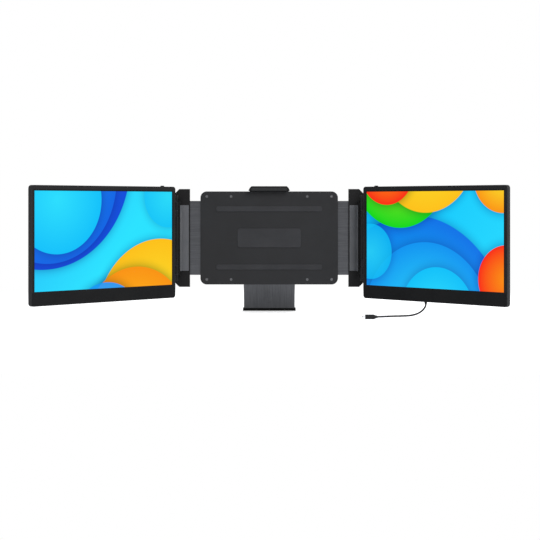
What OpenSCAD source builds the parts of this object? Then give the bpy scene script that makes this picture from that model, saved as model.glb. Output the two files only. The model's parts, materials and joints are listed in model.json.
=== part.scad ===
// Laptop screen extender: two portable screens on a sliding bracket that hangs on the lid of a laptop.
// X runs to the right, Y away from the user, Z up along the lid. The origin is the centre of the lid face.
// "Screen space" has its origin on a hinge axis, X outwards along the screen, Y from its front to its back.

/* [Screens] */
// Width of the lit area
active_w = 309.4; // [240:0.1:330]
// Height of the lit area
active_h = 174; // [160:0.1:200]
// Frame beside the lit area
side_rim = 7.6; // [5:0.1:12]
// Frame above the lit area
top_rim = 9.6; // [8.5:0.1:14]
// Frame below the lit area
chin = 24.9; // [22:0.1:30]
// Depth of a closed screen
screen_t = 9.5; // [9:0.1:13]
// Corner radius of a screen
corner_r = 5.5; // [3:0.5:9]
// Angle of each screen towards the user
swing = 45; // [0:1:80]
// Width of the raised rim round a screen
rim_w = 1.4; // [0.8:0.1:3]
// Height of that rim above the frame
rim_h = 0.5; // [0.2:0.1:0.8]
// Depth of the front frame
bezel_t = 1.5; // [1:0.1:2]
// Side walls of a screen's shell
shell_wall = 1.6; // [1.2:0.1:2]
// Back wall of a screen's shell
back_t = 1.4; // [1:0.1:2]
// Thickness of the panel
panel_t = 1.2; // [0.8:0.1:1.6]
// Thickness of the backlight unit
backlight_t = 2.5; // [1.8:0.1:2.7]

/* [Buttons] */
// Width of a button
button_w = 8; // [6:0.5:12]
// Depth of a button, front to back
button_d = 2.2; // [1.6:0.1:2.4]
// Height of a button above the shell
button_h = 1.8; // [1.4:0.1:3]
// Travel of a button
button_travel = 0.8; // [0.4:0.1:1.2]
// Distance of a button from the hinge axis
button_x = 30.5; // [28:0.5:60]

/* [Screen hinges] */
// Gap between a hinge axis and the edge of its screen
hinge_gap = 3.6; // [3.6:0.1:6]
// Height of each hinge above and below the middle
hinge_z = 60; // [40:1:64]
// Radius of a knuckle
barrel_r = 3.2; // [3:0.1:3.3]
// Radius of a hinge pin
pin_r = 1.5; // [1:0.1:2]
// Height of an arm's knuckle
arm_knuckle_h = 15.4; // [10:0.1:20]
// Height of a screen's knuckle
screen_knuckle_h = 12; // [8:0.5:16]
// Thickness of an arm's hinge leaf
leaf_t = 2; // [1.5:0.1:2.4]
// Gap between a folded screen and what it folds over
fold_gap = 1; // [0.6:0.1:3]

/* [Laptop lid] */
// Width of the lid between the jaws
lid_w = 334; // [325:1:380]
// Thickness of the lid
lid_t = 6.5; // [5:0.1:9]
// Height of the lid's top edge above the bracket
lid_rise = 4.5; // [4.5:0.5:10]

/* [Jaws] */
// Height of a side bar
bar_h = 185; // [178:1:190]
// Width of a side bar
bar_w = 28.5; // [26:0.5:30]
// Reach of a side bar past the hinge axis
bar_reach = 5; // [4:0.5:7]
// Thickness of a side bar
bar_t = 7; // [6.6:0.1:9]
// Corner chamfer of a side bar
bar_chamfer = 8.5; // [4:0.5:14]
// Thickness of a jaw's side wall
jaw_t = 2.8; // [2.5:0.1:4]
// Height of a jaw's side wall
jaw_h = 140; // [130:1:150]
// Height of a jaw's front lip
lip_h = 124; // [80:1:128]
// Reach of a jaw's front lip over the lid
lip_reach = 2; // [1.5:0.5:5]
// Thickness of a front lip
lip_t = 2; // [1.5:0.1:3]
// Thickness of the silicone lining
pad_t = 0.5; // [0.4:0.1:1]

/* [Bracket] */
// Width of the bracket
bracket_w = 260; // [252:1:268]
// Height of the bracket
bracket_h = 176; // [174:1:190]
// Depth from the lid to the bracket's back
bracket_t = 19; // [19:0.1:22]
// Corner radius of the bracket
bracket_r = 12; // [6:1:16]
// Thickness of the front cover
cover_t = 2; // [1.5:0.1:2]
// Walls of the rear housing
housing_wall = 3; // [2.4:0.1:3.4]
// Thickness of the lid pads
lid_pad_t = 1; // [0.6:0.1:1]
// Width of the top hook
hook_w = 79; // [60:0.5:90]
// Width of the middle lid pad
mid_pad_w = 120; // [80:1:180]
// Height of the middle lid pad
mid_pad_h = 36; // [20:1:60]
// Height of the upper and lower lid pads
strip_pad_h = 10; // [8:1:16]
// Distance of a lid pad's end from the bracket's edge
strip_pad_inset = 30; // [16:1:60]

/* [Slides] */
// Thickness of an arm plate
plate_t = 2.5; // [2:0.1:2.6]
// Distance of an arm plate's edge from the bracket's edge
plate_margin = 18; // [17:0.5:20]
// Length of an arm plate
plate_len = 102; // [96:1:104]
// Radius of a guide rod
rod_r = 1.5; // [1:0.1:2]
// Distance of a guide rod from an arm plate's edge
rod_margin = 8; // [7:0.5:14]
// Length of a slide block
block_w = 19; // [14:1:19]
// Teeth of the pinion
pinion_teeth = 18; // [18:2:22]
// Module of the teeth
tooth_module = 1; // [1:0.05:1.1]
// Width of the teeth
gear_t = 3.5; // [2.5:0.1:3.6]
// Clearance on each side of a tooth
backlash = 0.1; // [0.08:0.01:0.2]
// Radius of the pinion's axle
axle_r = 2; // [1.5:0.1:2.5]

/* [Kickstand] */
// Width of the sleeve
sleeve_w = 118; // [100:1:118]
// Length of the sleeve below its pivot
sleeve_len = 114; // [100:1:114]
// Thickness of the sleeve
sleeve_t = 6; // [5.8:0.1:6]
// Thickness of the telescoping leg
leg_t = 2.8; // [2:0.1:3.4]
// Length of the leg
leg_len = 94; // [80:1:94]
// Height of the pivot above the middle
pivot_z = 30; // [26:1:34]
// Angle of the kickstand behind the lid
stand_angle = 25; // [15:1:35]
// Radius of a kickstand pin
stand_pin_r = 1.5; // [1:0.1:1.8]
// Height of the middle above the desk
desk_drop = 145; // [138:1:147]

/* [Cable] */
// Diameter of the cable
cable_d = 3.2; // [2.6:0.1:3.6]
// Length of the boot at the screen
boot_len = 4; // [3.5:0.5:9]
// Length of the plug's body
plug_len = 17; // [14:0.5:22]
// Height of the plug's body
plug_h = 8; // [6:0.1:8]
// Width of the plug's body
plug_w = 12; // [10:0.5:13]

/* [Hidden] */
$fn = 48;
over = 1;              // how far a cutting shape runs past what it cuts
left = -1;
right = 1;

// Fits
press = 0.01;          // pin in the part that holds it
running = 0.05;        // pin or rod in the part that turns or slides
slip = 0.2;            // a flat part that slides beside another
seam = 0.1;            // between two shells that nest

// Depths of the lid channel, front to back
lid_play = 0.5;
lip_back = -(lid_t + lid_play + pad_t);
lip_front = lip_back - lip_t;

// Arms and side bars (right-hand side, in X)
jaw_in = lid_w / 2 + pad_t;
jaw_out = jaw_in + jaw_t;
hinge_x = jaw_out + barrel_r;
bar_out = hinge_x + bar_reach;
bar_in = bar_out - bar_w;
bar_front = lid_pad_t;
bar_back = bar_front + bar_t;
plate_front = lid_pad_t + cover_t + 1;
plate_back = plate_front + plate_t;
plate_grip = 12;
plate_out = bar_in + plate_grip;
plate_in = plate_out - plate_len;
plate_h = bracket_h - 2 * plate_margin;
plate_slot_w = 38;
plate_slot_h = 18;
plate_slot_z = 36;
plate_slot_inset = 20;
bar_screw_gap = 45;
bar_head_t = 0.9;
fold_clear = 2;
left_lead = -lip_front + pad_t + fold_clear;
right_lead = left_lead + screen_t + fold_gap;

// Screen, in screen space
screen_w = active_w + 2 * side_rim;
screen_top = active_h / 2 + top_rim;
screen_bottom = -active_h / 2 - chin;
screen_x = hinge_gap;
shell_back = screen_t - back_t;
panel_edge = 3;
panel_w = active_w + 2 * panel_edge;
panel_h = active_h + 2 * panel_edge;
panel_back = bezel_t + panel_t;
backlight_back = panel_back + backlight_t;
skirt_t = 0.8;
skirt_d = 2;

// Hinge leaf inside the screen
leaf_y = backlight_back + 0.2;
screen_leaf_t = 1.2;
knuckle_z = arm_knuckle_h / 2 + 0.3;
hinge_pin_len = 2 * (knuckle_z + screen_knuckle_h);
spine_half = hinge_z - hinge_pin_len / 2 - 0.5;
hinge_leaf_len = 14;

// Electronics, in screen space
speaker_w = 32;
speaker_h = 9;
speaker_t = 3.4;
speaker_inset = 30;
speaker_seat = 0.8;
grille_pitch = 6;
grille_w = 2;
grille_slots = 5;
grille_edge = 1.5;
grille_x = (speaker_w - grille_w - (grille_slots - 1) * grille_pitch) / 2;
near_speaker_x = screen_x + speaker_inset;
far_speaker_x = screen_x + screen_w - speaker_inset - speaker_w;
board_from_speaker = 96;
board_to_speaker = 13.4;
board_x = near_speaker_x + board_from_speaker;
board_w = far_speaker_x - board_to_speaker - board_x;
board_top = -panel_h / 2 - 1;
board_bottom = screen_bottom + 3;
board_t = 1;
usb_from_board = 38;
hdmi_from_usb = 24;
usb_x = board_x + usb_from_board;
hdmi_x = usb_x + hdmi_from_usb;
usb_w = 9;
hdmi_w = 11.2;
socket_h = 3.2;
board_back = shell_back - socket_h;
socket_deep = 7.5;
socket_wall = 0.4;
chip_w = 11;
chip_h = 8;
chip_t = 0.7;
chip_edge = 4;
chip_spots = [12, 34, 70];
vent_pitch = 9;
vent_w = 3;
vent_h = 16;
vent_slots = 11;
vent_edge = 6;
vent_x = board_x + (board_w - vent_w - (vent_slots - 1) * vent_pitch) / 2;

// Seats of the backlight, in screen space
seat_r = 2.5;
seat_z = 50;
seat_inset = 60;

// Ribbon, in screen space
ribbon_x = board_x + 30;
ribbon_w = 24;
ribbon_t = 0.3;
ribbon_rise = 8;
ribbon_drop = 5;

// Cover screws, in screen space
screw_r = 0.8;
screw_head_r = 1.7;
boss_r = 1.9;
screw_inset = 16;
screw_seat = 0.8;
screw_beside_board = 10;
top_screw_z = (panel_h / 2 + screen_top - shell_wall) / 2;
bottom_screw_z = (screen_bottom - panel_h / 2) / 2;
screw_left_x = screen_x + screw_inset;
screw_right_x = screen_x + screen_w - screw_inset;
screw_spots = [
    [screw_left_x, top_screw_z], [screen_x + screen_w / 2, top_screw_z], [screw_right_x, top_screw_z],
    [screw_left_x, bottom_screw_z], [board_x - screw_beside_board, bottom_screw_z],
    [board_x + board_w + screw_beside_board, bottom_screw_z], [screw_right_x, bottom_screw_z]
];

// Button, in screen space
button_y = shell_back - 1.9;
button_flange = 0.9;
flange_t = 1;
flange_z = screen_top - shell_wall - seam - flange_t;
switch_h = 4;
switch_w = 5;
switch_t = 1;
switch_r = 0.9;
switch_stem = 0.8;

// Hook
hook_gap = 1;
hook_base = bracket_h / 2 + hook_gap;
lid_top = bracket_h / 2 + lid_rise;
hook_roof = 4.8;
hook_top = lid_top + pad_t + hook_roof;
hook_back = bar_back;
hook_taper = 3;
hook_chamfer = 3.8;
hook_edge = 1.5;
stem_w = hook_w - 5;
stem_t = 3.2;
stem_drop = 33;
stem_bottom = bracket_h / 2 - stem_drop;
hook_shoulder = 3;
hook_shoulder_in = 4.5;

// Bracket
cover_back = lid_pad_t + cover_t;
strip_pad_drop = 33;
strip_pad_z = bracket_h / 2 - strip_pad_drop;
housing_back_t = 2;
housing_in = bracket_w / 2 - housing_wall;
slot_h = plate_h + 2;
recess_gap = 1.5;
recess_w = sleeve_w + 2 * recess_gap;
recess_wall = 1.5;
recess_top = pivot_z + 8;
back_vent_w = 3;
back_vent_h = 16;
back_vent_pitch = 9;
back_vent_z = recess_top + 14;
recess_floor = bracket_t - sleeve_t - 0.5;
recess_floor_t = 1.5;
housing_screw_r = 1.25;
housing_head_r = 2.6;
housing_head_t = 0.8;
housing_head_seat = 0.9;
housing_boss_r = 3.5;
housing_screw_len = 8;
housing_screw_edge = 12;
housing_screw_pitch = 46;
housing_screw_rise = 9.5;
housing_screw_x = [for (k = [0, 1]) bracket_w / 2 - housing_screw_edge - k * housing_screw_pitch];
housing_screw_z = bracket_h / 2 - housing_screw_rise;
housing_spots = [for (sx = [-1, 1]) for (sz = [-1, 1]) for (x = housing_screw_x)
    [sx * x, sz * housing_screw_z]];

// Slides
rod_y = plate_back + 2.7;
rod_z = plate_h / 2 - rod_margin;
rod_end = housing_in + 2;
block_inset = 14;
block_x = plate_in + block_inset;
block_h = 12;
block_t = 6;
pitch_r = pinion_teeth * tooth_module / 2;
tip_r = pitch_r + tooth_module;
root_r = pitch_r - 1.25 * tooth_module;
base_r = pitch_r * cos(20);
tooth_pitch = PI * tooth_module;
rack_body = 4.75;
rack_grip = 25;
rack_out = plate_in + rack_grip;
rack_in = -40;
axle_head_r = axle_r + 2;

// Kickstand
pivot_y = bracket_t - 0.2 - sleeve_t / 2;
cavity_top = 15;
cavity_t = leg_t + 0.4;
cavity_rail = 9;
cavity_w = sleeve_w - 2 * cavity_rail;
leg_w = cavity_w - 0.6;
foot_len = 6;
leg_bottom = (pivot_z + desk_drop) / cos(stand_angle) - foot_len;
foot_w = leg_w + 4;
stand_pin_in = cavity_w / 2 + 1;
stand_pin_out = recess_w / 2 + recess_wall + 3;
stand_boss_r = stand_pin_r + 1.8;

// Cable route, from the boot's end to the plug's tail
cable_exit_x = 147.9;
cable_exit_y = 5.5;
cable_route = [
    [282, -123.2, -115.9], [281.93, -123.18, -117.3], [281.53, -123.05, -119.2], [280.68, -122.75, -121.3],
    [279.4, -122.3, -123.5], [277.65, -121.7, -125.8], [275.4, -120.9, -128.1], [272.7, -119.95, -130.3],
    [269.4, -118.75, -132.4], [265.1, -117.2, -134.4], [259.8, -115.2, -136.1], [253.6, -112.8, -137.3],
    [247, -110.4, -138], [240, -107.9, -138.5], [232.6, -105.2, -138.9], [225.2, -102.7, -139.3],
    [217.9, -100.4, -139.8], [210.9, -98.6, -140.3], [204.3, -97.3, -140.7], [198, -96.5, -141]
];
cable_start = [0, 0, -1];
cable_end = [-1, 0, 0];
cable_sides = 8;
plug_tail = 6;
plug_shell_len = 6.5;
plug_shell_w = 8.34;
plug_shell_h = 2.56;
plug_shell_wall = 0.32;

// ---------------------------------------------------------------- shared shapes

// Mirrors the right-hand shape for the left side
module on_side(side) {
    if (side < 0) mirror([1, 0, 0]) children();
    else children();
}

function lead(side) = side < 0 ? left_lead : right_lead;

// Places a shape of screen space at its hinge
module on_screen(side)
    on_side(side) translate([hinge_x, -lead(side), 0]) rotate([0, 0, -swing]) children();

// Places a shape of the hanging kickstand at its pivot, swung out
module on_stand() translate([0, pivot_y, pivot_z]) rotate([stand_angle, 0, 0]) children();

// A flat outline in X and Z, given a depth in Y
module slab(y0, y1)
    translate([0, y1, 0]) rotate([90, 0, 0]) linear_extrude(y1 - y0) children();

// A round bar along Y
module peg(x, z, r, y0, y1) translate([x, y0, z]) rotate([-90, 0, 0]) cylinder(r = r, h = y1 - y0);

// A box between two corners
module block(low, high) translate(low) cube(high - low);

module rounded(w, h, r) {
    translate([r, 0]) square([w - 2 * r, h]);
    if (h > 2 * r) translate([0, r]) square([w, h - 2 * r]);
    for (x = [r, w - r]) for (y = [r, h - r]) translate([x, y]) circle(r);
}

// ---------------------------------------------------------------- screens

module screen_outline(inset = 0) {
    r = max(corner_r - inset, 0.5);
    translate([screen_x + inset, screen_bottom + inset])
        rounded(screen_w - 2 * inset, screen_top - screen_bottom - 2 * inset, r);
}

module lit_window()
    translate([screen_x + side_rim, -active_h / 2]) square([active_w, active_h]);

module bezel(side) {
    skirt_in = shell_wall + seam;
    color("#1c1c1e") on_screen(side) difference() {
        union() {
            slab(rim_h, bezel_t) difference() { screen_outline(); lit_window(); }
            slab(0, rim_h) difference() { screen_outline(); screen_outline(rim_w); }
            slab(bezel_t, bezel_t + skirt_d) difference() {
                screen_outline(skirt_in);
                screen_outline(skirt_in + skirt_t);
            }
            for (s = screw_spots) peg(s.x, s.y, boss_r, bezel_t, shell_back);
        }
        for (s = screw_spots) peg(s.x, s.y, screw_r, bezel_t, shell_back + over);
    }
}

module rear_cover(side) {
    color("#232325") on_screen(side) difference() {
        union() {
            difference() {
                slab(bezel_t, screen_t) screen_outline();
                slab(bezel_t - over, shell_back) screen_outline(shell_wall);
            }
            // seats of the backlight
            for (x = [screen_x + seat_inset, screen_x + screen_w / 2, screen_x + screen_w - seat_inset])
                for (z = [-seat_z, seat_z]) peg(x, z, seat_r, backlight_back, shell_back);
            // seats of the hinge leaves
            for (z = [-hinge_z, hinge_z])
                block([screen_x + shell_wall, leaf_y + screen_leaf_t, z - knuckle_z - screen_knuckle_h],
                    [screen_x + hinge_leaf_len, shell_back, z + knuckle_z + screen_knuckle_h]);
            // seats of the speakers
            for (x = speaker_spots()) block([x, shell_back - speaker_seat, speaker_z()],
                [x + speaker_w, shell_back, speaker_z() + speaker_h]);
        }
        for (z = hinge_knuckles()) block([screen_x - over, leaf_y, z],
            [screen_x + shell_wall + over, leaf_y + screen_leaf_t, z + screen_knuckle_h]);
        button_slot(slip);
        if (side == right) translate([cable_exit_x, cable_exit_y, screen_bottom - over])
            cylinder(r = cable_d / 2 + 0.2, h = shell_wall + 2 * over);
        for (s = screw_spots) {
            peg(s.x, s.y, screw_r + slip, shell_back - over, screen_t + over);
            peg(s.x, s.y, screw_head_r, screen_t - screw_seat, screen_t + over);
        }
        port_hole(usb_x, usb_w);
        port_hole(hdmi_x, hdmi_w);
        // speaker slots and vents through the back
        for (x = speaker_spots()) for (i = [0 : grille_slots - 1]) let (low = x + grille_x + grille_pitch * i)
            block([low, shell_back - over, speaker_z() + grille_edge],
                [low + grille_w, screen_t + over, speaker_z() + speaker_h - grille_edge]);
        for (i = [0 : vent_slots - 1]) slab(shell_back - over, screen_t + over)
            translate([vent_x + vent_pitch * i, -active_h / 2 + vent_edge]) rounded(vent_w, vent_h, 1.4);
    }
}

function hinge_knuckles() = [for (z = [-hinge_z, hinge_z])
    for (k = [-knuckle_z - screen_knuckle_h, knuckle_z]) z + k];

function speaker_spots() = [near_speaker_x, far_speaker_x];

function speaker_z() = bottom_screw_z - speaker_h / 2;

module port_hole(x, w)
    block([x - w / 2, board_back, screen_bottom - over],
        [x + w / 2, shell_back, screen_bottom + shell_wall + over]);

module button_slot(gap)
    block([button_x - button_w / 2 - gap, button_y - button_d / 2 - gap, screen_top - shell_wall - over],
        [button_x + button_w / 2 + gap, button_y + button_d / 2 + gap, screen_top + over]);

module panel(side)
    color("#1aa6e8") on_screen(side) slab(bezel_t, panel_back) panel_outline();

module panel_outline()
    translate([screen_x + side_rim - panel_edge, -panel_h / 2]) square([panel_w, panel_h]);

module backlight(side)
    color("#d9dbdc") on_screen(side) slab(panel_back, backlight_back) panel_outline();

module driver_board(side) {
    board_front = board_back - board_t;
    color("#1f6b3a") on_screen(side) {
        block([board_x, board_front, board_bottom], [board_x + board_w, board_back, board_top]);
        for (x = chip_spots) block([board_x + x, board_front - chip_t, board_bottom + chip_edge],
            [board_x + x + chip_w, board_front, board_bottom + chip_edge + chip_h]);
    }
}

// A flat cable that steps from the backlight's back down to the board
module ribbon(side) {
    top = board_top + ribbon_rise;
    step = board_top + 0.5;
    low = board_top - ribbon_drop;
    near = backlight_back + ribbon_t;
    far = board_back + ribbon_t;
    color("#c98a2b") on_screen(side) translate([ribbon_x, 0, 0]) rotate([90, 0, 90])
        linear_extrude(ribbon_w) polygon([[backlight_back, top], [near, top], [near, step - ribbon_t],
            [far, step - ribbon_t], [far, low], [board_back, low], [board_back, step],
            [backlight_back, step]]);
}

module port_sockets(side)
    color("#b9bcc0") on_screen(side) {
        socket(usb_x, usb_w);
        socket(hdmi_x, hdmi_w);
    }

module socket(x, w)
    translate([x, board_back, screen_bottom]) difference() {
        block([-w / 2, 0, 0], [w / 2, socket_h, socket_deep]);
        block([-w / 2 + socket_wall, socket_wall, -over],
            [w / 2 - socket_wall, socket_h - socket_wall, socket_deep - 1]);
    }

module speakers(side)
    color("#2f3033") on_screen(side) for (x = speaker_spots())
        block([x, shell_back - speaker_seat - speaker_t, speaker_z()],
            [x + speaker_w, shell_back - speaker_seat, speaker_z() + speaker_h]);

module screen_hinge(side) {
    web_in = pin_r + 1;
    web_out = hinge_gap - 0.1;
    color("#3a3b3e") on_screen(side) difference() {
        union() {
            for (z = hinge_knuckles()) {
                translate([0, 0, z]) cylinder(r = barrel_r, h = screen_knuckle_h);
                block([web_in, 0, z], [web_out, leaf_y + screen_leaf_t, z + screen_knuckle_h]);
                block([web_in, leaf_y, z],
                    [hinge_leaf_len, leaf_y + screen_leaf_t, z + screen_knuckle_h]);
            }
            for (z = [-hinge_z, hinge_z])
                block([screen_x + shell_wall + 0.4, leaf_y, z - knuckle_z - screen_knuckle_h],
                    [screen_x + hinge_leaf_len, leaf_y + screen_leaf_t, z + knuckle_z + screen_knuckle_h]);
        }
        for (z = hinge_knuckles()) translate([0, 0, z - over])
            cylinder(r = pin_r + running, h = screen_knuckle_h + 2 * over);
    }
}

module cover_screws(side)
    color("#8f9296") on_screen(side) for (s = screw_spots) {
        peg(s.x, s.y, screw_r, bezel_t + 1, screen_t - screw_seat);
        difference() {
            peg(s.x, s.y, screw_head_r - seam, screen_t - screw_seat, screen_t - 0.05);
            peg(s.x, s.y, 0.6, screen_t - 0.5, screen_t + over);
        }
    }

module button(side)
    color("#303033") on_screen(side) {
        dome_r = 3;
        intersection() {
            block([button_x - button_w / 2, button_y - button_d / 2, flange_z],
                [button_x + button_w / 2, button_y + button_d / 2, screen_top + button_h]);
            union() {
                translate([button_x, button_y - over - button_d / 2, screen_top + button_h - dome_r])
                    rotate([-90, 0, 0]) cylinder(r = dome_r, h = button_d + 2 * over);
                block([button_x - button_w / 2, button_y - button_d / 2, flange_z],
                    [button_x + button_w / 2, button_y + button_d / 2, screen_top + button_h - 1]);
            }
        }
        block([button_x - button_w / 2 - button_flange, button_y - button_d / 2, flange_z],
            [button_x + button_w / 2 + button_flange, button_y + button_d / 2, flange_z + flange_t]);
    }

module button_switch(side) {
    top = flange_z - button_travel - seam;
    color("#b9bcc0") on_screen(side) {
        block([button_x - switch_w / 2, button_y - switch_t, top - switch_h],
            [button_x + switch_w / 2, shell_back, top - switch_stem]);
        translate([button_x, button_y, top - switch_stem]) cylinder(r = switch_r, h = switch_stem);
    }
}

// ---------------------------------------------------------------- arms

module arm_bar(side) {
    half = bar_h / 2;
    edge = half - bar_chamfer;
    color("#2a2a2d") on_side(side) difference() {
        union() {
            slab(bar_front, bar_back) polygon([[bar_in, -half], [bar_out - bar_chamfer, -half],
                [bar_out, -edge], [bar_out, edge], [bar_out - bar_chamfer, half], [bar_in, half]]);
            block([jaw_in, lip_front, -jaw_h / 2], [jaw_out, bar_front + over, jaw_h / 2]);
            block([jaw_in - lip_reach, lip_front, -lip_h / 2], [jaw_out, lip_back, lip_h / 2]);
            // spine that closes the gap between the two hinges
            translate([hinge_x, -lead(side), -spine_half]) cylinder(r = barrel_r, h = 2 * spine_half);
            block([jaw_out, -lead(side), -spine_half],
                [jaw_out + leaf_t, bar_front + over, spine_half]);
        }
        block([bar_in - over, plate_front, -plate_h / 2], [plate_out, plate_back, plate_h / 2]);
        for (z = bar_screw_z()) {
            peg(bar_screw_x(), z, housing_screw_r, plate_back - over, bar_back + over);
            peg(bar_screw_x(), z, housing_head_r, bar_back - bar_head_t, bar_back + over);
        }
    }
}

function bar_screw_x() = (bar_in + plate_out) / 2;

function bar_screw_z() = [-bar_screw_gap, 0, bar_screw_gap];

// Screws that hold a side bar on its arm plate
module bar_screws(side)
    color("#8f9296") on_side(side) for (z = bar_screw_z()) {
        peg(bar_screw_x(), z, housing_screw_r - press, plate_front, bar_back - bar_head_t);
        difference() {
            peg(bar_screw_x(), z, housing_head_r - seam, bar_back - bar_head_t, bar_back);
            peg(bar_screw_x(), z, 1, bar_back - 0.5, bar_back + over);
        }
    }

module arm_plate(side)
    color("#9a9da1") on_side(side) difference() {
        block([plate_in, plate_front, -plate_h / 2], [plate_out, plate_back, plate_h / 2]);
        for (z = bar_screw_z())
            peg(bar_screw_x(), z, housing_screw_r, plate_front - over, plate_back + over);
        // lightening slots
        for (z = [-plate_slot_z, plate_slot_z]) slab(plate_front - over, plate_back + over)
            translate([plate_in + plate_slot_inset, z - plate_slot_h / 2])
                rounded(plate_slot_w, plate_slot_h, plate_slot_h / 3);
    }

// Silicone lining of a jaw: behind the lid, beside it, and wrapped round the lip in front of it
module jaw_pad(side) {
    half = lip_h / 2;
    lip_in = jaw_in - lip_reach;
    color("#6f7174") on_side(side) {
        block([bar_in + 2, 0, -half], [jaw_in, bar_front, half]);
        block([jaw_in - pad_t, lip_back, -half], [jaw_in, 0, half]);
        block([lip_in - pad_t, lip_back, -half], [jaw_in - pad_t, lip_back + pad_t, half]);
        block([lip_in - pad_t, lip_front - pad_t, -half], [lip_in, lip_back, half]);
        block([lip_in, lip_front - pad_t, -half], [jaw_in, lip_front, half]);
    }
}

module arm_hinge(side)
    color("#3a3b3e") on_side(side) for (z = [-hinge_z, hinge_z]) difference() {
        union() {
            translate([hinge_x, -lead(side), z - arm_knuckle_h / 2])
                cylinder(r = barrel_r, h = arm_knuckle_h);
            block([jaw_out, -lead(side), z - arm_knuckle_h / 2],
                [jaw_out + leaf_t, bar_front, z + arm_knuckle_h / 2]);
        }
        translate([hinge_x, -lead(side), z - arm_knuckle_h])
            cylinder(r = pin_r + press, h = 2 * arm_knuckle_h);
    }

module hinge_pins(side)
    color("#c9cbce") on_side(side) for (z = [-hinge_z, hinge_z])
        translate([hinge_x, -lead(side), z - hinge_pin_len / 2]) cylinder(r = pin_r, h = hinge_pin_len);

module slide_blocks(side)
    color("#e4e4e0") on_side(side) for (z = [-rod_z, rod_z]) difference() {
        block([block_x, plate_back, z - block_h / 2],
            [block_x + block_w, plate_back + block_t, z + block_h / 2]);
        translate([block_x - over, rod_y, z]) rotate([0, 90, 0])
            cylinder(r = rod_r + running, h = block_w + 2 * over);
    }

// The left rack lies above the pinion and the right one below it, with teeth on the pinion's own grid
module rack(side) {
    tip = pitch_r - tooth_module;
    root = pitch_r + 1.25 * tooth_module;
    half_pitch = tooth_pitch / 4 - backlash;
    at_tip = half_pitch - tooth_module * tan(20);
    at_root = half_pitch + 1.25 * tooth_module * tan(20);
    first = ceil((rack_in + 2) / tooth_pitch);
    last = floor((rack_out - 2) / tooth_pitch);
    color("#e4e4e0") on_side(side) rotate([side < 0 ? 0 : 180, 0, 0])
        slab(side < 0 ? plate_back : -plate_back - gear_t, side < 0 ? plate_back + gear_t : -plate_back) {
            translate([rack_in, root]) square([rack_out - rack_in, rack_body]);
            for (k = [first : last]) translate([k * tooth_pitch, 0])
                polygon([[-at_root, root + 0.1], [-at_root, root], [-at_tip, tip], [at_tip, tip],
                    [at_root, root], [at_root, root + 0.1]]);
        }
}

// ---------------------------------------------------------------- bracket

function involute_x(r) = sqrt(max(pow(r / base_r, 2) - 1, 0)) * 180 / PI;
function involute_angle(r) = involute_x(r) - atan(involute_x(r) * PI / 180);
// Half the angle that a tooth takes at radius r
function half_tooth(r) = 90 / pinion_teeth - backlash / pitch_r * 180 / PI
    + involute_angle(pitch_r) - involute_angle(max(r, base_r));

module pinion_outline() {
    steps = 5;
    radii = [root_r, for (i = [0 : steps]) base_r + (tip_r - base_r) * i / steps];
    circle(r = root_r + 0.05);
    for (k = [0 : pinion_teeth - 1]) rotate(90 + (k + 0.5) * 360 / pinion_teeth)
        polygon([[0, 0], for (r = radii) r * [cos(half_tooth(r)), -sin(half_tooth(r))],
            for (i = [len(radii) - 1 : -1 : 0])
                radii[i] * [cos(half_tooth(radii[i])), sin(half_tooth(radii[i]))]]);
}

module sync_pinion()
    color("#e4e4e0") difference() {
        slab(plate_back, plate_back + gear_t) pinion_outline();
        peg(0, 0, axle_r + running, plate_back - over, plate_back + gear_t + over);
    }

module pinion_axle()
    color("#c9cbce") {
        peg(0, 0, axle_r, cover_back, recess_floor - recess_floor_t);
        peg(0, 0, axle_head_r, cover_back, plate_back - 0.3);
    }

module bracket_outline(inset = 0)
    translate([-bracket_w / 2 + inset, -bracket_h / 2 + inset])
        rounded(bracket_w - 2 * inset, bracket_h - 2 * inset, bracket_r - inset);

module front_cover()
    color("#2a2a2d") difference() {
        slab(lid_pad_t, cover_back) bracket_outline();
        for (s = housing_spots) {
            peg(s.x, s.y, housing_screw_r, lid_pad_t - over, cover_back + over);
            peg(s.x, s.y, housing_head_r, lid_pad_t - over, lid_pad_t + housing_head_seat);
        }
    }

module housing_screws()
    color("#8f9296") for (s = housing_spots) {
        peg(s.x, s.y, housing_screw_r - press, lid_pad_t + housing_head_seat, cover_back + housing_screw_len);
        difference() {
            peg(s.x, s.y, housing_head_r - seam, lid_pad_t + housing_head_seat - housing_head_t,
                lid_pad_t + housing_head_seat);
            peg(s.x, s.y, 1, lid_pad_t - over, lid_pad_t + 0.5);
        }
    }

module lid_pads()
    color("#3b3c3f") slab(0, lid_pad_t) {
        translate([-mid_pad_w / 2, -mid_pad_h / 2]) rounded(mid_pad_w, mid_pad_h, 5);
        strip_w = bracket_w - 2 * strip_pad_inset;
        for (z = [-strip_pad_z, strip_pad_z]) translate([-strip_w / 2, z - strip_pad_h / 2])
            rounded(strip_w, strip_pad_h, 0.4 * strip_pad_h);
    }

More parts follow.
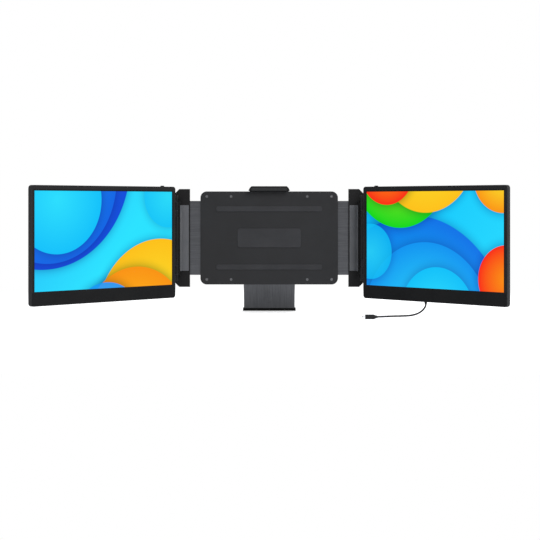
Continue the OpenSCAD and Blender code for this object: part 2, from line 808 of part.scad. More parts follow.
module rear_housing()
    color("#262628") difference() {
        union() {
            difference() {
                slab(cover_back, bracket_t) bracket_outline();
                slab(cover_back - over, bracket_t - housing_back_t) bracket_outline(housing_wall);
            }
            for (s = housing_spots) peg(s.x, s.y, housing_boss_r, cover_back, bracket_t - housing_back_t);
            // walls and floor round the kickstand's recess
            intersection() {
                slab(cover_back, bracket_t) bracket_outline();
                block([-recess_w / 2 - recess_wall, recess_floor - recess_floor_t, -bracket_h / 2],
                    [recess_w / 2 + recess_wall, bracket_t, recess_top + recess_wall]);
            }
            // bosses of the kickstand's pins
            for (s = [-1, 1]) on_side(s) translate([recess_w / 2, pivot_y, pivot_z]) rotate([0, 90, 0])
                cylinder(r = stand_boss_r, h = stand_pin_out - recess_w / 2);
        }
        block([-recess_w / 2, recess_floor, -bracket_h / 2 - over],
            [recess_w / 2, bracket_t + over, recess_top]);
        block([-bracket_w, cover_back - over, -slot_h / 2], [bracket_w, plate_back + 0.4, slot_h / 2]);
        block([-stem_w / 2 - slip, cover_back - over, bracket_h / 2 - housing_wall - over],
            [stem_w / 2 + slip, cover_back + stem_t + slip, bracket_h / 2 + over]);
        for (s = housing_spots)
            peg(s.x, s.y, housing_screw_r, cover_back - over, cover_back + housing_screw_len + 1);
        for (s = [-1, 1]) on_side(s) translate([recess_w / 2 - over, pivot_y, pivot_z]) rotate([0, 90, 0])
            cylinder(r = stand_pin_r + press, h = stand_pin_out - recess_w / 2 + 2 * over);
        for (z = [-rod_z, rod_z]) translate([-rod_end, rod_y, z]) rotate([0, 90, 0])
            cylinder(r = rod_r, h = 2 * rod_end);
        // vents above the recess
        for (i = [-8 : 8]) slab(bracket_t - housing_back_t - over, bracket_t + over)
            translate([i * back_vent_pitch - back_vent_w / 2, back_vent_z])
                rounded(back_vent_w, back_vent_h, back_vent_w / 2 - 0.1);
    }

module guide_rods()
    color("#c9cbce") for (z = [-rod_z, rod_z])
        translate([-rod_end, rod_y, z]) rotate([0, 90, 0]) cylinder(r = rod_r, h = 2 * rod_end);

// Hook over the lid's top edge, with its stem down inside the bracket
module top_hook() {
    half = hook_w / 2;
    shoulder = hook_top - hook_shoulder;
    top_half = half - hook_taper - hook_shoulder_in;
    color("#2a2a2d") union() {
        intersection() {
            slab(lip_front - over, hook_back + over) polygon([[-half, hook_base - over],
                [half, hook_base - over], [half - hook_taper, shoulder], [top_half, hook_top + over],
                [-top_half, hook_top + over], [-half + hook_taper, shoulder]]);
            translate([-hook_w, 0, 0]) rotate([90, 0, 90]) linear_extrude(2 * hook_w) hook_profile();
        }
        block([-stem_w / 2, cover_back, stem_bottom], [stem_w / 2, cover_back + stem_t, hook_base + over]);
    }
}

// The hook from the side, in Y and Z: front lip, channel for the lid, and back
module hook_profile()
    polygon([[lip_front, hook_base], [lip_back, hook_base], [lip_back, lid_top + pad_t],
        [bar_front, lid_top + pad_t], [bar_front, hook_base], [hook_back, hook_base],
        [hook_back, hook_top - hook_edge], [hook_back - hook_edge, hook_top],
        [lip_front + hook_chamfer, hook_top], [lip_front, hook_top - hook_chamfer]]);

module hook_pad() {
    half = hook_w / 2 - hook_taper - hook_shoulder_in;
    color("#6f7174") {
        block([-half, lip_back, lid_top], [half, bar_front, lid_top + pad_t]);
        block([-half, lip_back, hook_base + 0.3], [half, lip_back + pad_t, lid_top]);
        block([-half, 0, hook_base + 0.3], [half, bar_front, lid_top]);
    }
}

// ---------------------------------------------------------------- kickstand

module kickstand_sleeve()
    color("#2a2a2d") on_stand() difference() {
        union() {
            rotate([0, 90, 0]) cylinder(r = sleeve_t / 2, h = sleeve_w, center = true);
            block([-sleeve_w / 2, -sleeve_t / 2, -sleeve_len], [sleeve_w / 2, sleeve_t / 2, 0]);
        }
        block([-cavity_w / 2, -cavity_t / 2, -sleeve_len - over], [cavity_w / 2, cavity_t / 2, -cavity_top]);
        for (s = [-1, 1]) on_side(s) translate([stand_pin_in, 0, 0]) rotate([0, 90, 0])
            cylinder(r = stand_pin_r + running, h = sleeve_w);
    }

module kickstand_pins()
    color("#c9cbce") for (s = [-1, 1]) on_side(s) translate([stand_pin_in, pivot_y, pivot_z])
        rotate([0, 90, 0]) cylinder(r = stand_pin_r, h = stand_pin_out - stand_pin_in);

module kickstand_leg()
    color("#9a9da1") on_stand()
        block([-leg_w / 2, -leg_t / 2, -leg_bottom], [leg_w / 2, leg_t / 2, -leg_bottom + leg_len]);

// Rubber foot, cut level with the desk
module kickstand_foot() {
    half = sleeve_t / 2 - 0.2;
    rise = half * tan(stand_angle);
    color("#141415") on_stand() translate([-foot_w / 2, 0, -leg_bottom]) rotate([90, 0, 90])
        linear_extrude(foot_w)
            polygon([[-half, 0], [-half, rise - foot_len], [half, -rise - foot_len], [half, 0]]);
}

// ---------------------------------------------------------------- cable

module cable_boot()
    color("#111113") on_screen(right) translate([cable_exit_x, cable_exit_y, screen_bottom]) {
        cylinder(r = cable_d / 2 + 0.2, h = shell_wall);
        translate([0, 0, -2.5]) cylinder(r = 2.5, h = 2.5);
        translate([0, 0, -boot_len]) cylinder(r1 = cable_d / 2, r2 = 2.3, h = boot_len - 2.5);
    }

function unit(v) = v / norm(v);
function heading(i) = i == 0 ? cable_start : i == len(cable_route) - 1 ? cable_end
    : unit(cable_route[i + 1] - cable_route[i - 1]);
function ring(i) = let (u = unit(cross(heading(i), [0, 1, 0])), v = cross(heading(i), u))
    [for (k = [0 : cable_sides - 1]) let (a = 360 * k / cable_sides)
        cable_route[i] + cable_d / 2 * (cos(a) * u + sin(a) * v)];

module usb_cable() {
    rings = len(cable_route);
    n = cable_sides;
    sides = [for (i = [0 : rings - 2]) for (k = [0 : n - 1])
        [i * n + k, i * n + (k + 1) % n, (i + 1) * n + (k + 1) % n, (i + 1) * n + k]];
    caps = [[for (k = [n - 1 : -1 : 0]) k], [for (k = [0 : n - 1]) (rings - 1) * n + k]];
    color("#0f0f11") polyhedron(points = [for (i = [0 : rings - 1]) each ring(i)],
        faces = concat(sides, caps), convexity = 4);
}

module at_plug() translate(cable_route[len(cable_route) - 1]) children();

module usb_plug()
    color("#111113") at_plug() {
        translate([-plug_tail, 0, 0]) rotate([0, 90, 0]) cylinder(r1 = 3.4, r2 = cable_d / 2, h = plug_tail);
        translate([-plug_tail - plug_len, -plug_w / 2, -plug_h / 2]) rotate([90, 0, 90])
            linear_extrude(plug_len) rounded(plug_w, plug_h, 3);
    }

module usb_plug_shell()
    color("#c9cbce") at_plug() translate([-plug_tail - plug_len - plug_shell_len, 0, 0]) difference() {
        shell_shape(0, 1.2);
        translate([-over, 0, 0]) shell_shape(plug_shell_wall, 0.9);
    }

module shell_shape(wall, r) {
    w = plug_shell_w - 2 * wall;
    h = plug_shell_h - 2 * wall;
    translate([0, -w / 2, -h / 2]) rotate([90, 0, 90]) linear_extrude(plug_shell_len) rounded(w, h, r);
}

// ---------------------------------------------------------------- the nodes

front_cover();
rear_housing();
lid_pads();
top_hook();
hook_pad();
guide_rods();
housing_screws();
sync_pinion();
pinion_axle();
arm_plate(left);  // left_arm_plate
arm_bar(left);  // left_arm_bar
jaw_pad(left);  // left_jaw_pad
arm_hinge(left);  // left_arm_hinge
hinge_pins(left);  // left_hinge_pins
rack(left);  // left_rack
slide_blocks(left);  // left_slide_blocks
bar_screws(left);  // left_bar_screws
arm_plate(right);  // right_arm_plate
arm_bar(right);  // right_arm_bar
jaw_pad(right);  // right_jaw_pad
arm_hinge(right);  // right_arm_hinge
hinge_pins(right);  // right_hinge_pins
rack(right);  // right_rack
slide_blocks(right);  // right_slide_blocks
bar_screws(right);  // right_bar_screws
bezel(left);  // left_bezel
rear_cover(left);  // left_rear_cover
panel(left);  // left_panel
backlight(left);  // left_backlight
driver_board(left);  // left_driver_board
ribbon(left);  // left_ribbon
port_sockets(left);  // left_port_sockets
speakers(left);  // left_speakers
screen_hinge(left);  // left_screen_hinge
cover_screws(left);  // left_cover_screws
button_switch(left);  // left_button_switch
button(left);  // left_button
bezel(right);  // right_bezel
rear_cover(right);  // right_rear_cover
panel(right);  // right_panel
backlight(right);  // right_backlight
driver_board(right);  // right_driver_board
ribbon(right);  // right_ribbon
port_sockets(right);  // right_port_sockets
speakers(right);  // right_speakers
screen_hinge(right);  // right_screen_hinge
cover_screws(right);  // right_cover_screws
button_switch(right);  // right_button_switch
button(right);  // right_button
kickstand_sleeve();
kickstand_pins();
kickstand_leg();
kickstand_foot();
cable_boot();
usb_cable();
usb_plug();
usb_plug_shell();
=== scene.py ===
import json
import math
import bpy
from mathutils import Matrix, Vector


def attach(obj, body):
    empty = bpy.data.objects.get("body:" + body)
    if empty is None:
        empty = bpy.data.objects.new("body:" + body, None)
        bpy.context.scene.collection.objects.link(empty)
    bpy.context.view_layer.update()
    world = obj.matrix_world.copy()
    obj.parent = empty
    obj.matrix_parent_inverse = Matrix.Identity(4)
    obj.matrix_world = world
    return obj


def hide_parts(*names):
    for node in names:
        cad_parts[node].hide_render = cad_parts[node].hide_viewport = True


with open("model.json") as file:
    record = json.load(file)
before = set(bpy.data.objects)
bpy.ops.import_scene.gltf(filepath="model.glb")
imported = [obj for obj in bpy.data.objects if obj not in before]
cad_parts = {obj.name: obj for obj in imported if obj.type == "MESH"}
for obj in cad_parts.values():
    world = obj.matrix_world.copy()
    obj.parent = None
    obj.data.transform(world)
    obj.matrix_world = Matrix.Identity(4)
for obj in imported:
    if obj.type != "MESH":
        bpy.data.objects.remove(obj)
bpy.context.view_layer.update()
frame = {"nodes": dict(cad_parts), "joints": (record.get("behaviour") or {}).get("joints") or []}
mm = 0.001
tiny = 0.001  # millimetres within which two places are the same
over = 1  # how far a cutter reaches past the face that it opens, in millimetres
sharpAngle = 32  # degrees from which an edge is sharp
hingeSpot = {j["name"]: Vector(j["pos_m"]) for j in frame["joints"] if j["type"] == "hinge"}
print("frame loaded:", len(frame["nodes"]), "nodes")


# working in object and edit mode: all sizes are in millimetres

def activate(piece):
    bpy.ops.object.select_all(action="DESELECT")
    piece.select_set(True)
    bpy.context.view_layer.objects.active = piece


def applyAll(piece):
    activate(piece)
    bpy.ops.object.transform_apply(location=True, rotation=True, scale=True)


def addBox(name, low, high):
    bpy.ops.mesh.primitive_cube_add(size=1, location=[(h + l) / 2 * mm for l, h in zip(low, high)])
    box = bpy.context.object
    box.name = name
    box.scale = [(h - l) * mm for l, h in zip(low, high)]
    applyAll(box)
    return box


def addRod(name, centre, radius, depth, turn=(0, 0, 0), sides=48):  # turn is in degrees
    bpy.ops.mesh.primitive_cylinder_add(vertices=sides, radius=radius * mm, depth=depth * mm,
                                        location=[c * mm for c in centre],
                                        rotation=[math.radians(t) for t in turn])
    rod = bpy.context.object
    rod.name = name
    applyAll(rod)
    return rod


def objectMode():
    bpy.ops.object.mode_set(mode="OBJECT")


def editAll(piece):
    activate(piece)
    bpy.ops.object.mode_set(mode="EDIT")
    bpy.ops.mesh.select_all(action="SELECT")


def pick(piece, kind, test):  # selects the edges or faces whose corners pass the test, and stays in edit mode
    activate(piece)
    bpy.ops.object.mode_set(mode="EDIT")
    bpy.ops.mesh.select_mode(type=kind)
    bpy.ops.mesh.select_all(action="DESELECT")
    objectMode()
    corners = [vertex.co / mm for vertex in piece.data.vertices]
    for part in piece.data.edges if kind == "EDGE" else piece.data.polygons:
        part.select = test([corners[v] for v in part.vertices])
    bpy.ops.object.mode_set(mode="EDIT")


def along(axis):  # true for an edge that runs along one axis
    others = [i for i in range(3) if i != axis]
    return lambda ends: all(abs(ends[0][i] - ends[1][i]) < tiny for i in others)


def atPlane(axis, value):  # true for an edge or a face that lies in a plane across one axis
    return lambda corners: all(abs(corner[axis] - value) < tiny for corner in corners)


def roundEdges(piece, test, width, segments=4):
    pick(piece, "EDGE", test)
    bpy.ops.mesh.bevel(offset=width * mm, segments=segments, profile=0.5, affect="EDGES")
    objectMode()


def addSlot(low, high, radius, segments=4, axis=1):  # a cutter with rounded corners
    slot = addBox("slot", low, high)
    roundEdges(slot, along(axis), radius, segments)
    return slot


def addSlots(first, depth, height, count, step, wide, radius, segments):  # a row of upright slots
    slots = []
    for k in range(count):
        left = first + step * k
        low, high = zip((left, left + wide), depth, height)
        slots.append(addSlot(low, high, radius, segments))
    return slots


def addModifier(piece, kind, **settings):
    modifier = piece.modifiers.new(kind.lower(), kind)
    for key, value in settings.items():
        setattr(modifier, key, value)
    return modifier


def applyModifier(piece, kind, **settings):
    activate(piece)
    bpy.ops.object.modifier_apply(modifier=addModifier(piece, kind, **settings).name)


def joinUp(pieces, name):
    activate(pieces[0])
    for piece in pieces[1:]:
        piece.select_set(True)
    bpy.ops.object.join()
    joined = bpy.context.object
    joined.name = name
    return joined


def cutWith(piece, cutters):
    cutter = joinUp(cutters, "cutter") if len(cutters) > 1 else cutters[0]
    applyModifier(piece, "BOOLEAN", operation="DIFFERENCE", solver="EXACT", object=cutter, use_self=True)
    bpy.data.objects.remove(cutter)


def uniteWith(piece, parts):
    for part in parts:
        applyModifier(piece, "BOOLEAN", operation="UNION", solver="EXACT", object=part)
        bpy.data.objects.remove(part)


def smooth(piece, angle=sharpAngle):
    activate(piece)
    bpy.ops.object.shade_smooth_by_angle(angle=math.radians(angle))


def breakEdges(piece, width, segments):
    applyModifier(piece, "BEVEL", width=width * mm, segments=segments, limit_method="ANGLE",
                  angle_limit=math.radians(sharpAngle), harden_normals=False)


def soften(piece, width, segments=3):  # the small radius that every moulded edge has
    breakEdges(piece, width, segments)
    smooth(piece)


def faceOutwards(piece):
    editAll(piece)
    bpy.ops.mesh.remove_doubles(threshold=tiny * mm)
    bpy.ops.mesh.normals_make_consistent(inside=False)
    objectMode()


# A screen is built with its hinge axis at the origin, X outwards across it and Y from front to back.
screen = {
    "inner": 3.6, "outer": 328.2, "bottom": -111.9, "top": 96.6, "depth": 9.5, "corner": 5.5,
    "leastCorner": 0.6, "swing": 45, "rim": 1.4, "rimHeight": 0.5, "frameDepth": 1.5, "side": 7.6,
    "above": 9.6, "chin": 24.9, "wall": 1.6, "back": 1.4, "edge": 0.22,
}
window = {"left": screen["inner"] + screen["side"], "right": screen["outer"] - screen["side"],
          "bottom": screen["bottom"] + screen["chin"], "top": screen["top"] - screen["above"]}


def screenMatrix(side):
    turn = Matrix.Rotation(math.radians(-screen["swing"]), 4, "Z")
    spot = hingeSpot[side + "_screen_hinge"].copy()
    if side == "left":
        spot.x = -spot.x
        return Matrix.Scale(-1, 4, (1, 0, 0)) @ Matrix.Translation(spot) @ turn
    return Matrix.Translation(spot) @ turn


def placeOnScreen(piece, side, body=None):
    piece.matrix_world = screenMatrix(side)
    applyAll(piece)
    if side == "left":
        faceOutwards(piece)
    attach(piece, body or side + "_screen")


def finishPiece(piece, look, slot, *nodes):
    applyModifier(piece, "WEIGHTED_NORMAL", keep_sharp=True)
    paint(piece, look)
    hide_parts(*nodes)


# shader nodes

def feed(tree, node, inputs):  # a socket takes another's output or a plain value
    for key, value in inputs.items():
        socket = node.inputs[key]
        if isinstance(value, bpy.types.NodeSocket):
            tree.links.new(value, socket)
        elif value is not None:
            socket.default_value = (*value, 1.0) if socket.type == "RGBA" else value


def addNode(tree, kind, inputs=None, **settings):
    node = tree.nodes.new("ShaderNode" + kind)
    for key, value in settings.items():
        setattr(node, key, value)
    feed(tree, node, inputs or {})
    return node


def addMath(tree, operation, first, second=None, clamp=False):
    node = addNode(tree, "Math", {0: first, 1: second}, operation=operation, use_clamp=clamp)
    return node.outputs[0]


def addVectorMath(tree, operation, first, second=None):
    node = addNode(tree, "VectorMath", {0: first, 1: second}, operation=operation)
    return node.outputs["Value" if operation in ("LENGTH", "DOT_PRODUCT") else "Vector"]


def splitPlace(tree, place):
    return addNode(tree, "SeparateXYZ", {"Vector": place}).outputs


def addNoise(tree, place, scale, detail=2.0):
    inputs = {"Vector": place, "Scale": scale, "Detail": detail}
    return addNode(tree, "TexNoise", inputs).outputs["Fac"]


def mapRange(tree, value, low, high, to=(0.0, 1.0), kind="LINEAR"):
    inputs = {"Value": value, "From Min": low, "From Max": high, "To Min": to[0], "To Max": to[1]}
    return addNode(tree, "MapRange", inputs, interpolation_type=kind).outputs["Result"]


def spread(tree, noise, low=0.0, high=1.0):  # a noise keeps to its middle, which is widened to the range
    return mapRange(tree, noise, *noiseMiddle, (low, high))


def mixColours(tree, factor, first, second, blend="MIX"):
    return addNode(tree, "Mix", {0: factor, 6: first, 7: second}, data_type="RGBA",
                   blend_type=blend).outputs[2]


def addBump(tree, height, strength, distance):
    inputs = {"Height": height, "Strength": strength, "Distance": distance}
    return addNode(tree, "Bump", inputs).outputs["Normal"]


# shader groups: each puts out only values that change over the surface

origin = (0.0, 0.0, 0.0)
noiseMiddle = (0.3, 0.7)
grain = {"smoothness": 0.6, "cellShare": 0.6, "fineDetail": 3.0, "slowScale": 22.0, "slowDetail": 4.0,
         "slowShare": 0.7, "bump": 0.35}
wear = {"radius": 0.6, "flat": 0.995, "sharp": 0.86, "patchScale": 90.0, "patchDetail": 5.0,
        "patches": (0.35, 0.7)}
brushing = {"detail": 6.0, "cloudScale": 60.0, "bump": 0.25, "depth": 0.01}
discEdge = {"softness": 0.9, "shadow": 20, "fade": 2.0}
# where a screen front's zones change, in millimetres; line is the band just inside the outer edge that gets
# the painted highlight
zoneEdge = {"side": (1.4, 3.6), "chin": (-2.5, 0.5), "line": (-1.5, -1.1), "front": 1.2}


def newGroup(name, inputs, outputs):
    group = bpy.data.node_groups.new(name, "ShaderNodeTree")
    for label, value in inputs.items():
        kind = "NodeSocketFloat" if isinstance(value, float) else "NodeSocketVector"
        group.interface.new_socket(name=label, in_out="INPUT", socket_type=kind).default_value = value
    for label in outputs:
        group.interface.new_socket(name=label, in_out="OUTPUT", socket_type="NodeSocketFloat")
    start = group.nodes.new("NodeGroupInput")
    return group, start.outputs, group.nodes.new("NodeGroupOutput")


def weigh(tree, first, share, second):
    rest = addMath(tree, "MULTIPLY", second, 1 - share)
    return addMath(tree, "ADD", addMath(tree, "MULTIPLY", first, share), rest)


def makeGrain():  # fine moulded texture with slow changes of gloss
    group, given, end = newGroup("mouldedGrain", {"Vector": origin, "Scale": 1200.0},
                                 ("Height", "Gloss", "Shade"))
    place, scale = given["Vector"], given["Scale"]
    cells = addNode(group, "TexVoronoi",
                    {"Vector": place, "Scale": scale, "Smoothness": grain["smoothness"]}, feature="SMOOTH_F1")
    fine = addNoise(group, place, scale, grain["fineDetail"])
    slow = addNoise(group, place, grain["slowScale"], grain["slowDetail"])
    feed(group, end, {"Height": weigh(group, cells.outputs["Distance"], grain["cellShare"], fine),
                      "Gloss": slow, "Shade": weigh(group, slow, grain["slowShare"], fine)})
    return group


def makeEdgeWear():  # a mask along edges, broken up by noise
    group, given, end = newGroup("edgeWear", {"Vector": origin, "Amount": 0.5}, ("Mask",))
    rounded = addNode(group, "Bevel", {"Radius": wear["radius"] * mm}, samples=6).outputs["Normal"]
    plain = addNode(group, "NewGeometry").outputs["Normal"]
    edge = mapRange(group, addVectorMath(group, "DOT_PRODUCT", rounded, plain), wear["flat"], wear["sharp"])
    noise = addNoise(group, given["Vector"], wear["patchScale"], wear["patchDetail"])
    mask = addMath(group, "MULTIPLY", edge, mapRange(group, noise, *wear["patches"]))
    feed(group, end, {"Mask": addMath(group, "MULTIPLY", mask, given["Amount"], clamp=True)})
    return group


def makeBrushing():  # long fine scratches along one axis
    group, given, end = newGroup("brushedLines", {"Vector": origin, "Stretch": (20.0, 900.0, 900.0)},
                                 ("Lines", "Cloud"))
    stretched = addVectorMath(group, "MULTIPLY", given["Vector"], given["Stretch"])
    feed(group, end, {"Lines": addNoise(group, stretched, 1.0, brushing["detail"]),
                      "Cloud": addNoise(group, given["Vector"], brushing["cloudScale"])})
    return group


def makeDisc():  # a disc in X and Z: its mask, how far a point lies from its middle, and the shadow round it
    group, given, end = newGroup("paintedDisc", {"Vector": origin, "Centre": origin, "Radius": 0.1},
                                 ("Mask", "Depth", "Shade"))
    apart = addVectorMath(group, "SUBTRACT", given["Vector"], given["Centre"])
    reach = addVectorMath(group, "LENGTH", addVectorMath(group, "MULTIPLY", apart, (1.0, 0.0, 1.0)))
    inside = addMath(group, "SUBTRACT", given["Radius"], reach)
    near = addMath(group, "ADD", addMath(group, "DIVIDE", inside, discEdge["shadow"] * mm), 1.0, clamp=True)
    feed(group, end, {"Mask": addMath(group, "DIVIDE", inside, discEdge["softness"] * mm, clamp=True),
                      "Depth": addMath(group, "DIVIDE", reach, given["Radius"], clamp=True),
                      "Shade": addMath(group, "POWER", near, discEdge["fade"])})
    return group


def makeFrameZones():  # on a screen's front: how far from the picture, and how near the outer edge, where the painted highlight line goes
    group, given, end = newGroup("frameZones", {"Vector": origin}, ("Side", "EdgeHighlight"))
    x, y, z = splitPlace(group, given["Vector"])

    def past(left, right, bottom, top):  # how far a point lies outside a box, in metres
        apart = []
        for value, low, high in ((x, left, right), (z, bottom, top)):
            off = addMath(group, "ABSOLUTE", addMath(group, "SUBTRACT", value, (low + high) / 2 * mm))
            apart.append(addMath(group, "SUBTRACT", off, (high - low) / 2 * mm))
        return addMath(group, "MAXIMUM", *apart)

    def step(value, low, high):
        return mapRange(group, value, low * mm, high * mm, kind="SMOOTHSTEP")

    beside = step(past(**window), *zoneEdge["side"])
    above = step(z, *(window["bottom"] + edge for edge in zoneEdge["chin"]))
    outside = past(screen["inner"], screen["outer"], screen["bottom"], screen["top"])
    front = addMath(group, "LESS_THAN", y, zoneEdge["front"] * mm)
    feed(group, end, {"Side": addMath(group, "MULTIPLY", beside, above),
                      "EdgeHighlight": addMath(group, "MULTIPLY", step(outside, *zoneEdge["line"]), front)})
    return group


grainGroup = makeGrain()
wearGroup = makeEdgeWear()
brushGroup = makeBrushing()
discGroup = makeDisc()
zoneGroup = makeFrameZones()
print("shader groups made")


# materials

def newMaterial(name):
    material = bpy.data.materials.new(name)
    material.use_nodes = True
    tree = material.node_tree
    shader = tree.nodes["Principled BSDF"]
    return material, tree, shader, addNode(tree, "TexCoord").outputs["Object"]


def useGroup(tree, group, place, **values):
    inputs = {"Vector": place, **{key.capitalize(): value for key, value in values.items()}}
    return addNode(tree, "Group", inputs, node_tree=group).outputs


def mouldedPlastic(name, tones, roughness, scale, depth, worn, wornTone, specular):
    material, tree, shader, place = newMaterial(name)
    texture = useGroup(tree, grainGroup, place, scale=scale)
    shade = spread(tree, texture["Shade"])
    body = tones(tree, place, shade) if callable(tones) else mixColours(tree, shade, *tones)
    edges = useGroup(tree, wearGroup, place, amount=worn)["Mask"]
    feed(tree, shader, {"Base Color": mixColours(tree, edges, body, wornTone), "Specular IOR Level": specular,
                        "Roughness": spread(tree, texture["Gloss"], *roughness),
                        "Normal": addBump(tree, texture["Height"], grain["bump"], depth * mm)})
    return material


def metal(name, tones, roughness, stretch):
    material, tree, shader, place = newMaterial(name)
    brushed = useGroup(tree, brushGroup, place, stretch=stretch)
    feed(tree, shader, {"Base Color": mixColours(tree, spread(tree, brushed["Lines"]), *tones),
                        "Roughness": spread(tree, brushed["Cloud"], *roughness), "Metallic": 1.0,
                        "Normal": addBump(tree, brushed["Lines"], brushing["bump"], brushing["depth"] * mm)})
    return material


def onScreen(tree, place, side):  # a point's place in its screen's own frame
    turn = math.radians(screen["swing"] if side == "right" else 180 - screen["swing"])
    turned = Matrix.Rotation(turn, 3, "Z") @ hingeSpot[side + "_screen_hinge"]
    inputs = {"Vector": place, "Rotation": (0.0, 0.0, turn), "Location": tuple(-turned)}
    return addNode(tree, "Mapping", inputs).outputs["Vector"]


# tones of a screen's front: darker below the picture, lighter beside it, and line, a painted highlight along
# the outer edge
frameTones = {
    "chin": ((0.0098, 0.0098, 0.01009), (0.014, 0.014, 0.01442)), "line": (0.028, 0.028, 0.02884),
    "side": ((0.0175, 0.0175, 0.01803), (0.0225, 0.0225, 0.02318)),
}
# the top tones are painted shade over the hook, and the lip tones a painted highlight on the front lip's face
hookPaintedLightTones = {
    "top": ((0.0035, 0.0035, 0.0038), (0.006, 0.006, 0.0065)), "lipFace": -9.2, "lipEnd": (36, 32),
    "lip": ((0.02, 0.02, 0.0205), (0.028, 0.028, 0.0285)),
}


def frameColours(side):  # lighter beside the picture, darker below it, and a painted highlight line round the front's outer edge
    def mix(tree, place, shade):
        zones = useGroup(tree, zoneGroup, onScreen(tree, place, side))
        chin = mixColours(tree, shade, *frameTones["chin"])
        body = mixColours(tree, zones["Side"], chin, mixColours(tree, shade, *frameTones["side"]))
        # the painted highlight line along the front's outer edge
        return mixColours(tree, zones["EdgeHighlight"], body, frameTones["line"])
    return mix


def hookPaintedLightColours(tree, place, shade):  # painted shade darkens the hook over its top and back, and a painted highlight lightens the front lip's face, fading out towards its ends
    x, y, z = splitPlace(tree, place)
    front = addMath(tree, "LESS_THAN", y, hookPaintedLightTones["lipFace"] * mm)
    start, end = hookPaintedLightTones["lipEnd"]
    inside = mapRange(tree, addMath(tree, "ABSOLUTE", x), start * mm, end * mm, kind="SMOOTHSTEP")
    top, lip = (mixColours(tree, shade, *hookPaintedLightTones[part]) for part in ("top", "lip"))
    return mixColours(tree, addMath(tree, "MULTIPLY", front, inside), top, lip)


def litPanel(name, side):  # the picture: a soft ground with broad discs over it
    material, tree, shader, place = newMaterial(name)
    spot = onScreen(tree, place, side)
    x, y, z = splitPlace(tree, spot)
    across, up, start = art[side]["tilt"]
    ramp = addMath(tree, "ADD", addMath(tree, "MULTIPLY", x, across), addMath(tree, "MULTIPLY", z, up))
    colour = mixColours(tree, addMath(tree, "ADD", ramp, start, clamp=True), *art[side]["ground"])
    for right, high, radius, inner, outer, opacity in art[side]["discs"]:
        disc = useGroup(tree, discGroup, spot, centre=(right * mm, 0.0, high * mm), radius=radius * mm)
        shaded = addMath(tree, "MULTIPLY", disc["Shade"], artShadow["depth"] * opacity)
        colour = mixColours(tree, shaded, colour, artShadow["colour"], "MULTIPLY")
        mask = addMath(tree, "MULTIPLY", disc["Mask"], opacity)
        colour = mixColours(tree, mask, colour, mixColours(tree, disc["Depth"], inner, outer))
    feed(tree, shader, {"Emission Color": colour, "Emission Strength": 1.0, "Roughness": 0.32,
                        "Base Color": (0.002, 0.002, 0.0025), "Specular IOR Level": 0.05})
    return material


def colourOf(*channels):  # screen values from 0 to 255 as linear light
    return tuple(((c / 255 + 0.055) / 1.055) ** 2.4 if c > 10 else c / 255 / 12.92 for c in channels)


cyan = colourOf(4, 196, 252)
paleCyan = colourOf(40, 226, 255)
sky = colourOf(10, 150, 244)
azure = colourOf(8, 104, 232)
deepBlue = colourOf(6, 44, 216)
orange = colourOf(250, 146, 4)
amber = colourOf(253, 192, 16)
yellow = colourOf(250, 228, 40)
green = colourOf(8, 216, 24)
lime = colourOf(130, 228, 24)
red = colourOf(250, 36, 12)

artShadow = {"colour": (0.3, 0.42, 0.6), "depth": 0.6}
art = {  # each disc: its middle and radius in millimetres, inner and outer colour, and how much it covers
    "left": {
        "ground": (paleCyan, sky), "tilt": (2.4, 2.2, -0.3),
        "discs": [
            (300, 140, 190, azure, deepBlue, 0.9), (290, 108, 148, sky, azure, 0.9),
            (272, 72, 96, paleCyan, cyan, 0.95), (40, -150, 150, yellow, amber, 1.0),
            (96, -178, 128, amber, orange, 1.0), (164, -160, 84, cyan, sky, 0.95),
            (20, 78, 58, paleCyan, cyan, 0.7),
        ],
    },
    "right": {
        "ground": (cyan, paleCyan), "tilt": (2.2, -1.6, -0.1),
        "discs": [
            (120, -170, 214, cyan, azure, 0.9), (150, -150, 146, paleCyan, sky, 0.9),
            (176, -132, 84, paleCyan, cyan, 0.9), (90, 138, 118, lime, green, 1.0),
            (150, 160, 112, yellow, amber, 1.0), (60, 128, 66, orange, red, 1.0),
            (326, -66, 60, orange, red, 1.0), (318, 110, 62, yellow, orange, 1.0),
            (20, -24, 52, paleCyan, cyan, 0.7),
        ],
    },
}

